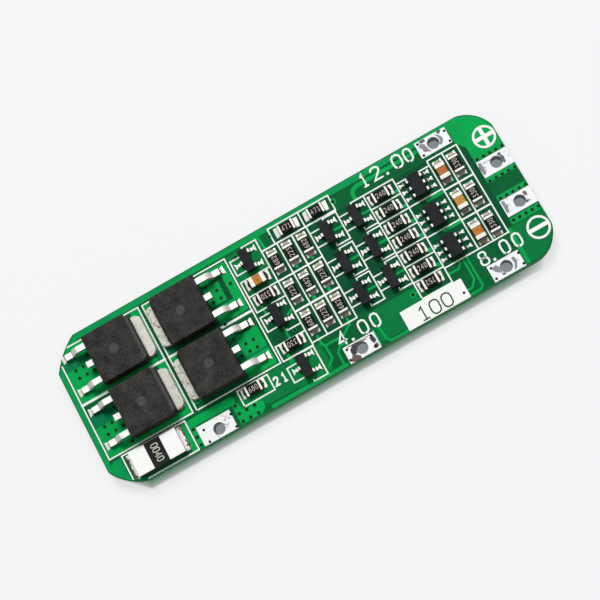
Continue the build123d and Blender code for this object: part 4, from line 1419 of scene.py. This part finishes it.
@dataclass
class Solder:
    """Smooth solder joints under and in front of every terminal.

    Reaches are measured from a body's wall out to the faces of its leads, and the two ends of the film under
    a tab from the wall inwards. The rows of a joint's mesh crowd towards the face, and its skin sags from
    there to the rim.
    """

    finishes: Finishes
    columns: int = 10
    rows: int = 8
    rim: float = 0.04
    film: float = 0.05
    crowding: float = 1.25
    sagging: float = 2.1
    flaring: float = 1.6
    transistor_reach: float = 0.6
    transistor_row: float = 1.0
    chip_reach: float = 0.66
    chip_row: float = 0.95
    power_reach: float = 3.0
    power_row: float = 2.285
    tab_film: tuple[float, float] = (2.3, 7.3)
    tab_width: float = 5.44
    tab_corner: float = 0.7
    tab_cut: float = 0.2

    def __post_init__(self) -> None:
        """Starts an empty solder mesh with one painted number at its points."""
        self.mesh = bmesh.new()
        self.shine = self.mesh.verts.layers.float.new("shine")
        self.chance = random.Random(7)

    def build(self) -> None:
        """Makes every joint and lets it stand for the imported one."""
        for node in nodes_like(*RESISTORS, *CAPACITORS):
            self.chip_part(node)
        for node in nodes_like(*TRANSISTORS):
            self.three_leads(Site.of(node))
        for node in nodes_like(*CHIPS):
            self.six_leads(Site.of(node))
        for node in nodes_like("power_transistor"):
            if node.endswith("_body"):
                self.power(Site.of(node), -1 if "left" in node else 1)
        self.shunt(Site.of("shunt_element"))
        piece = finish_piece(self.mesh, "solder_fillets", [self.finishes.solder], smooth=True)
        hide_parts("solder_joints")

    def joint(self, joint: Joint) -> None:
        """Adds one joint as a sagging skin with walls down to the deck."""
        # A joint takes four draws from the sequence and uses three of them.
        wobble = [self.chance.uniform(-1, 1) for _ in range(4)]
        levels: list[list[bmesh.types.BMVert]] = []
        steps = [-joint.under, -0.02]
        steps += [joint.beyond * (k / self.rows) ** self.crowding for k in range(self.rows + 1)]
        for along in steps:
            v = max(along, 0) / joint.beyond
            half = joint.width / 2 * (1 - joint.waist * math.sin(math.pi * min(v * 1.5, 1)))
            half += joint.flare * v ** self.flaring * (1 + 0.15 * wobble[0])
            row = []
            for k in range(self.columns + 1):
                u = -1 + 2 * k / self.columns
                swell = (1 - abs(u) ** 6) * (1 + 0.08 * wobble[1] * u)
                sag = (1 - v) ** self.sagging
                z = self.rim + (joint.height - self.rim) * sag * (0.35 + 0.65 * swell) if along >= 0 else 0
                push = 0.05 * wobble[2] * u * v if along > 0 else 0
                row.append(self.point(joint, along + push, u * half, DECK + self.film + z,
                                      joint.shine(u, v) if along >= 0 else 1))
            levels.append(row)
        for low, high in zip(levels, levels[1:]):
            for k in range(self.columns):
                self.mesh.faces.new((low[k], low[k + 1], high[k + 1], high[k]))
        edge = levels[0] + [row[-1] for row in levels[1:]] + levels[-1][-2::-1]
        edge += [row[0] for row in levels[-2:0:-1]]
        foot = [self.mesh.verts.new((vert.co.x, vert.co.y, DECK * MM)) for vert in edge]
        # The foot of each wall is painted darker, as shade near the deck.
        for low, high in zip(foot, edge):
            low[self.shine] = high[self.shine] * 0.6
        band(self.mesh, edge, foot)

    def point(self, joint: Joint, along: float, across: float, z: float, shine: float) -> bmesh.types.BMVert:
        """Adds one point of a joint."""
        x, y = joint.spot.put((along, across))
        vert = self.mesh.verts.new((x * MM, y * MM, z * MM))
        vert[self.shine] = shine
        return vert

    def chip_part(self, node: str) -> None:
        """Both joints of a chip resistor or capacitor."""
        site = Site.of(node)
        along = site.axis is Axis.ALONG
        half = site.size[site.axis.value] / 2
        width = site.size.y if along else site.size.x
        pattern = self.ears if not along else self.heap if node.startswith("top") else self.crescent
        for side in (1, -1):
            spot = (facing(site.middle.x + side * half, site.middle.y, side) if along
                    else Spot(site.middle.x, site.middle.y + side * half, 90 * side))
            self.joint(Joint(spot, under=0.45, beyond=0.6, width=width, height=0.3, flare=0.0,
                             shine=pattern))

    # The shine patterns below paint highlights and dark reflections into the solder.
    @staticmethod
    def crescent(u: float, v: float) -> float:
        """Dull next to the part, a bright crescent at the far end."""
        return 1.0 if v > 0.42 + 0.16 * math.cos(2.4 * u) else -0.3

    @staticmethod
    def heap(u: float, v: float) -> float:
        """Bright but for a line next to the part."""
        return 0.9 if v > 0.14 else -0.3

    @staticmethod
    def ears(u: float, v: float) -> float:
        """Dull in the middle, bright at the two outer corners."""
        return 1.0 if abs(u) > 1.0 - 0.4 * v and v > 0.25 else 0.22

    @staticmethod
    def toe(u: float, v: float) -> float:
        """Bright with a dull line at the terminal."""
        return 0.15 if v < 0.1 else 0.95

    @staticmethod
    def wide_toe(u: float, v: float) -> float:
        """A dark line at the lead, then bright edges round a duller middle."""
        if v < 0.2:
            return -0.2
        return 0.95 if abs(u) > 0.35 or v > 0.7 else 0.55

    @staticmethod
    def bright_with_dark_rim(u: float, v: float) -> float:
        """Bright up to a ragged dark rim."""
        edge = 0.62 + 0.26 * math.sin(9 * u + 1) * math.cos(4.3 * u)
        return 0.95 if v < edge else 0.1

    def three_leads(self, site: Site) -> None:
        """The three joints of a small transistor."""
        for side, y in ((-1, 0.0), (1, self.transistor_row), (1, -self.transistor_row)):
            x = site.middle.x + side * (site.size.x / 2 + self.transistor_reach)
            self.joint(Joint(facing(x, site.middle.y + y, side), under=0.3, beyond=0.43, width=0.42,
                             height=0.12, flare=0.24, shine=self.toe, waist=0.45))

    def six_leads(self, site: Site) -> None:
        """The six joints of a protection chip."""
        for side in (-1, 1):
            x = site.middle.x + side * (site.size.x / 2 + self.chip_reach)
            for y in (self.chip_row, 0, -self.chip_row):
                self.joint(Joint(facing(x, site.middle.y + y, side), under=0.34, beyond=0.55, width=0.36,
                                 height=0.11, flare=0.1, shine=self.toe, waist=0.5))

    def power(self, site: Site, out: int) -> None:
        """The two lead joints and the tab film of a power transistor."""
        wall = site.low.x if out < 0 else site.high.x
        for y in (self.power_row, -self.power_row):
            spot = facing(wall + out * self.power_reach, site.middle.y + y, out)
            self.joint(Joint(spot, under=1.05, beyond=0.58, width=0.75, height=0.36, flare=0.2,
                             shine=self.wide_toe))
        near, far = self.tab_film
        self.film_plate(facing(wall - out * far, site.middle.y, -out), far - near, self.tab_width)

    def film_plate(self, spot: Spot, under: float, width: float) -> None:
        """A thin plate of solder that ends at the spot and runs back under a part."""
        half = width / 2
        corner, cut = self.tab_corner, self.tab_cut
        outline = [(-under, -half), (-corner, -half), (-cut, -half + cut), (0, -half + corner),
                   (0, half - corner), (-cut, half - cut), (-corner, half), (-under, half)]
        upper, lower = [], []
        for along, across in outline:
            for ring, z in ((upper, DECK + self.film), (lower, DECK)):
                x, y = spot.put((along, across))
                vert = self.mesh.verts.new((x * MM, y * MM, z * MM))
                vert[self.shine] = 0.9
                ring.append(vert)
        self.mesh.faces.new(upper)
        band(self.mesh, upper, lower)

    def shunt(self, site: Site) -> None:
        """Both joints of the current shunt."""
        for side in (1, -1):
            spot = facing(site.middle.x + side * site.size.x / 2, site.middle.y, side)
            self.joint(Joint(spot, under=2.1, beyond=0.68, width=3.1, height=0.5, flare=0.0,
                             shine=self.bright_with_dark_rim))


# Studio


@dataclass
class Studio:
    """Pale floor, soft light and the camera at the photograph's angle."""

    floor_size: float = 3.0
    floor_steps: int = 6
    floor_level: float = -0.00005
    half_board: tuple[float, float] = (30.0, 10.0)
    corner_sum: float = 36.1
    plain_tones: tuple[Colour, Colour] = (shade(232, 233, 234), shade(230, 231, 232))
    # The lower glow tone and the contact tones are painted shadow under and round the board.
    glow_and_shadow_tones: tuple[Colour, Colour] = ((0.2, 0.225, 0.235, 1), (0.675, 0.675, 0.68, 1))
    contact_shadow_tones: tuple[Colour, Colour] = ((0.07, 0.17, 0.105, 1), (0.255, 0.285, 0.275, 1))
    bounce: float = 0.22
    key: tuple[float, float, float] = (0.1, 0.84, 1.04)
    key_size: float = 0.6
    key_power: float = 17.2
    fill: tuple[float, float, float] = (1.0, -0.2, 0.9)
    fill_size: float = 1.2
    fill_power: float = 3.6
    sky: float = 0.3
    lens: float = 90.405
    eye: tuple[float, float, float] = (6.597, -39.933, 176.076)
    aim: tuple[float, float, float] = (-0.170, -0.177, 1.6)
    roll: float = -38.98

    def build(self) -> None:
        """Sets up the floor, the light and the camera."""
        self.floor()
        self.world()
        self.lamp("key", self.key, self.key_size, self.key_power)
        self.lamp("fill", self.fill, self.fill_size, self.fill_power)
        self.camera()

    def floor_material(self) -> bpy.types.Material:
        """Pale floor that glows to the camera, with a painted shadow: the glow darkens under and round the
        board, most of all along its front edge.
        """
        graph = Graph("pale_floor")
        rays = graph.node("ShaderNodeLightPath").outputs
        seen = Value(graph, rays["Is Camera Ray"])
        speck = graph.mix(graph.grain(0.02, 2), *self.plain_tones)
        plain = graph.node("ShaderNodeBsdfDiffuse", inputs={"Color": speck})
        along, across, _ = graph.parts(graph.place())
        clear = (abs(along) - self.half_board[0]).at_least(abs(across) - self.half_board[1])
        clear = clear.at_least((abs(along) + abs(across) - self.corner_sum) * 0.707)
        # Under the board and in a thin rim round it the glow is darker: painted shadow.
        share = clear.step(-0.05, 0.0) * 0.8 + clear.step(0.0, 0.8) * 0.2
        grey = (self.bounce, self.bounce, self.bounce, 1)
        soft = graph.node("ShaderNodeBsdfDiffuse", inputs={"Color": grey})
        # A band along the front edge is darker still: painted contact shadow.
        front = (across * -1).step(6.8, 9.4) * (1 - along.step(22, 30)) * clear.step(-0.1, 0.0)
        contact_shadow = graph.mix(clear.step(0.1, 0.75), *self.contact_shadow_tones)
        bright = graph.mix(front * (1 - clear.step(0.66, 1.14)), graph.mix(share, *self.glow_and_shadow_tones), contact_shadow)
        glow = graph.node("ShaderNodeEmission", inputs={"Color": bright, "Strength": 1.0})
        lit = graph.node("ShaderNodeAddShader", inputs={0: soft.outputs[0], 1: glow.outputs[0]})
        mixed = graph.node("ShaderNodeMixShader", inputs={0: seen, 1: plain.outputs[0], 2: lit.outputs[0]})
        graph.tree.links.new(mixed.outputs[0], graph.output.inputs[0])
        return graph.material

    def floor(self) -> None:
        """A wide pale floor under the board."""
        mesh = bmesh.new()
        steps = self.floor_steps
        marks = [self.floor_size * (k / steps - 0.5) for k in range(steps + 1)]
        corners = [[mesh.verts.new((x, y, self.floor_level)) for x in marks] for y in marks]
        for low, high in zip(corners, corners[1:]):
            for k in range(steps):
                mesh.faces.new((low[k], low[k + 1], high[k + 1], high[k]))
        add_object(mesh, "floor", [self.floor_material()])

    def world(self) -> None:
        """An even pale sky."""
        world = bpy.data.worlds.new("studio_sky")
        world.use_nodes = True
        sky = world.node_tree.nodes["Background"]
        sky.inputs["Color"].default_value = (1, 1, 1, 1)
        sky.inputs["Strength"].default_value = self.sky
        bpy.context.scene.world = world

    def lamp(self, name: str, place: tuple[float, float, float], size: float, power: float) -> None:
        """A square soft lamp that looks at the board.

        Args:
            name: the lamp's name.
            place: where it hangs, in metres.
            size: its side, in metres.
            power: its power, in watts.
        """
        light = bpy.data.lights.new(name, "AREA")
        light.size = size
        light.energy = power
        lamp = bpy.data.objects.new(name, light)
        lamp.location = place
        lamp.rotation_euler = (-Vector(place)).to_track_quat("-Z", "Y").to_euler()
        bpy.context.scene.collection.objects.link(lamp)

    def camera(self) -> None:
        """The camera, turned about its own axis as the photograph is."""
        data = bpy.data.cameras.new("camera")
        data.sensor_width = 36
        data.lens = self.lens
        data.clip_start = 0.005
        data.clip_end = 10
        camera = bpy.data.objects.new("camera", data)
        eye, aim = Vector(self.eye) * MM, Vector(self.aim) * MM
        look = (aim - eye).to_track_quat("-Z", "Y").to_matrix().to_4x4()
        roll = Matrix.Rotation(math.radians(self.roll), 4, "Z")
        camera.matrix_world = Matrix.Translation(eye) @ look @ roll
        bpy.context.scene.collection.objects.link(camera)
        bpy.context.scene.camera = camera


def main() -> None:
    """Builds every sub-assembly in order."""
    logging.basicConfig(level=logging.INFO, format="%(name)s %(message)s")
    bpy.context.scene.view_settings.view_transform = "Standard"
    finishes = Finishes()
    for assembly in (CopperRelief, Vias, Print, Legends, Lands, PowerTransistors, Shunt, ChipParts,
                     SmallPackages, Solder):
        assembly(finishes).build()
    Studio().build()


if __name__ == "__main__":
    main()
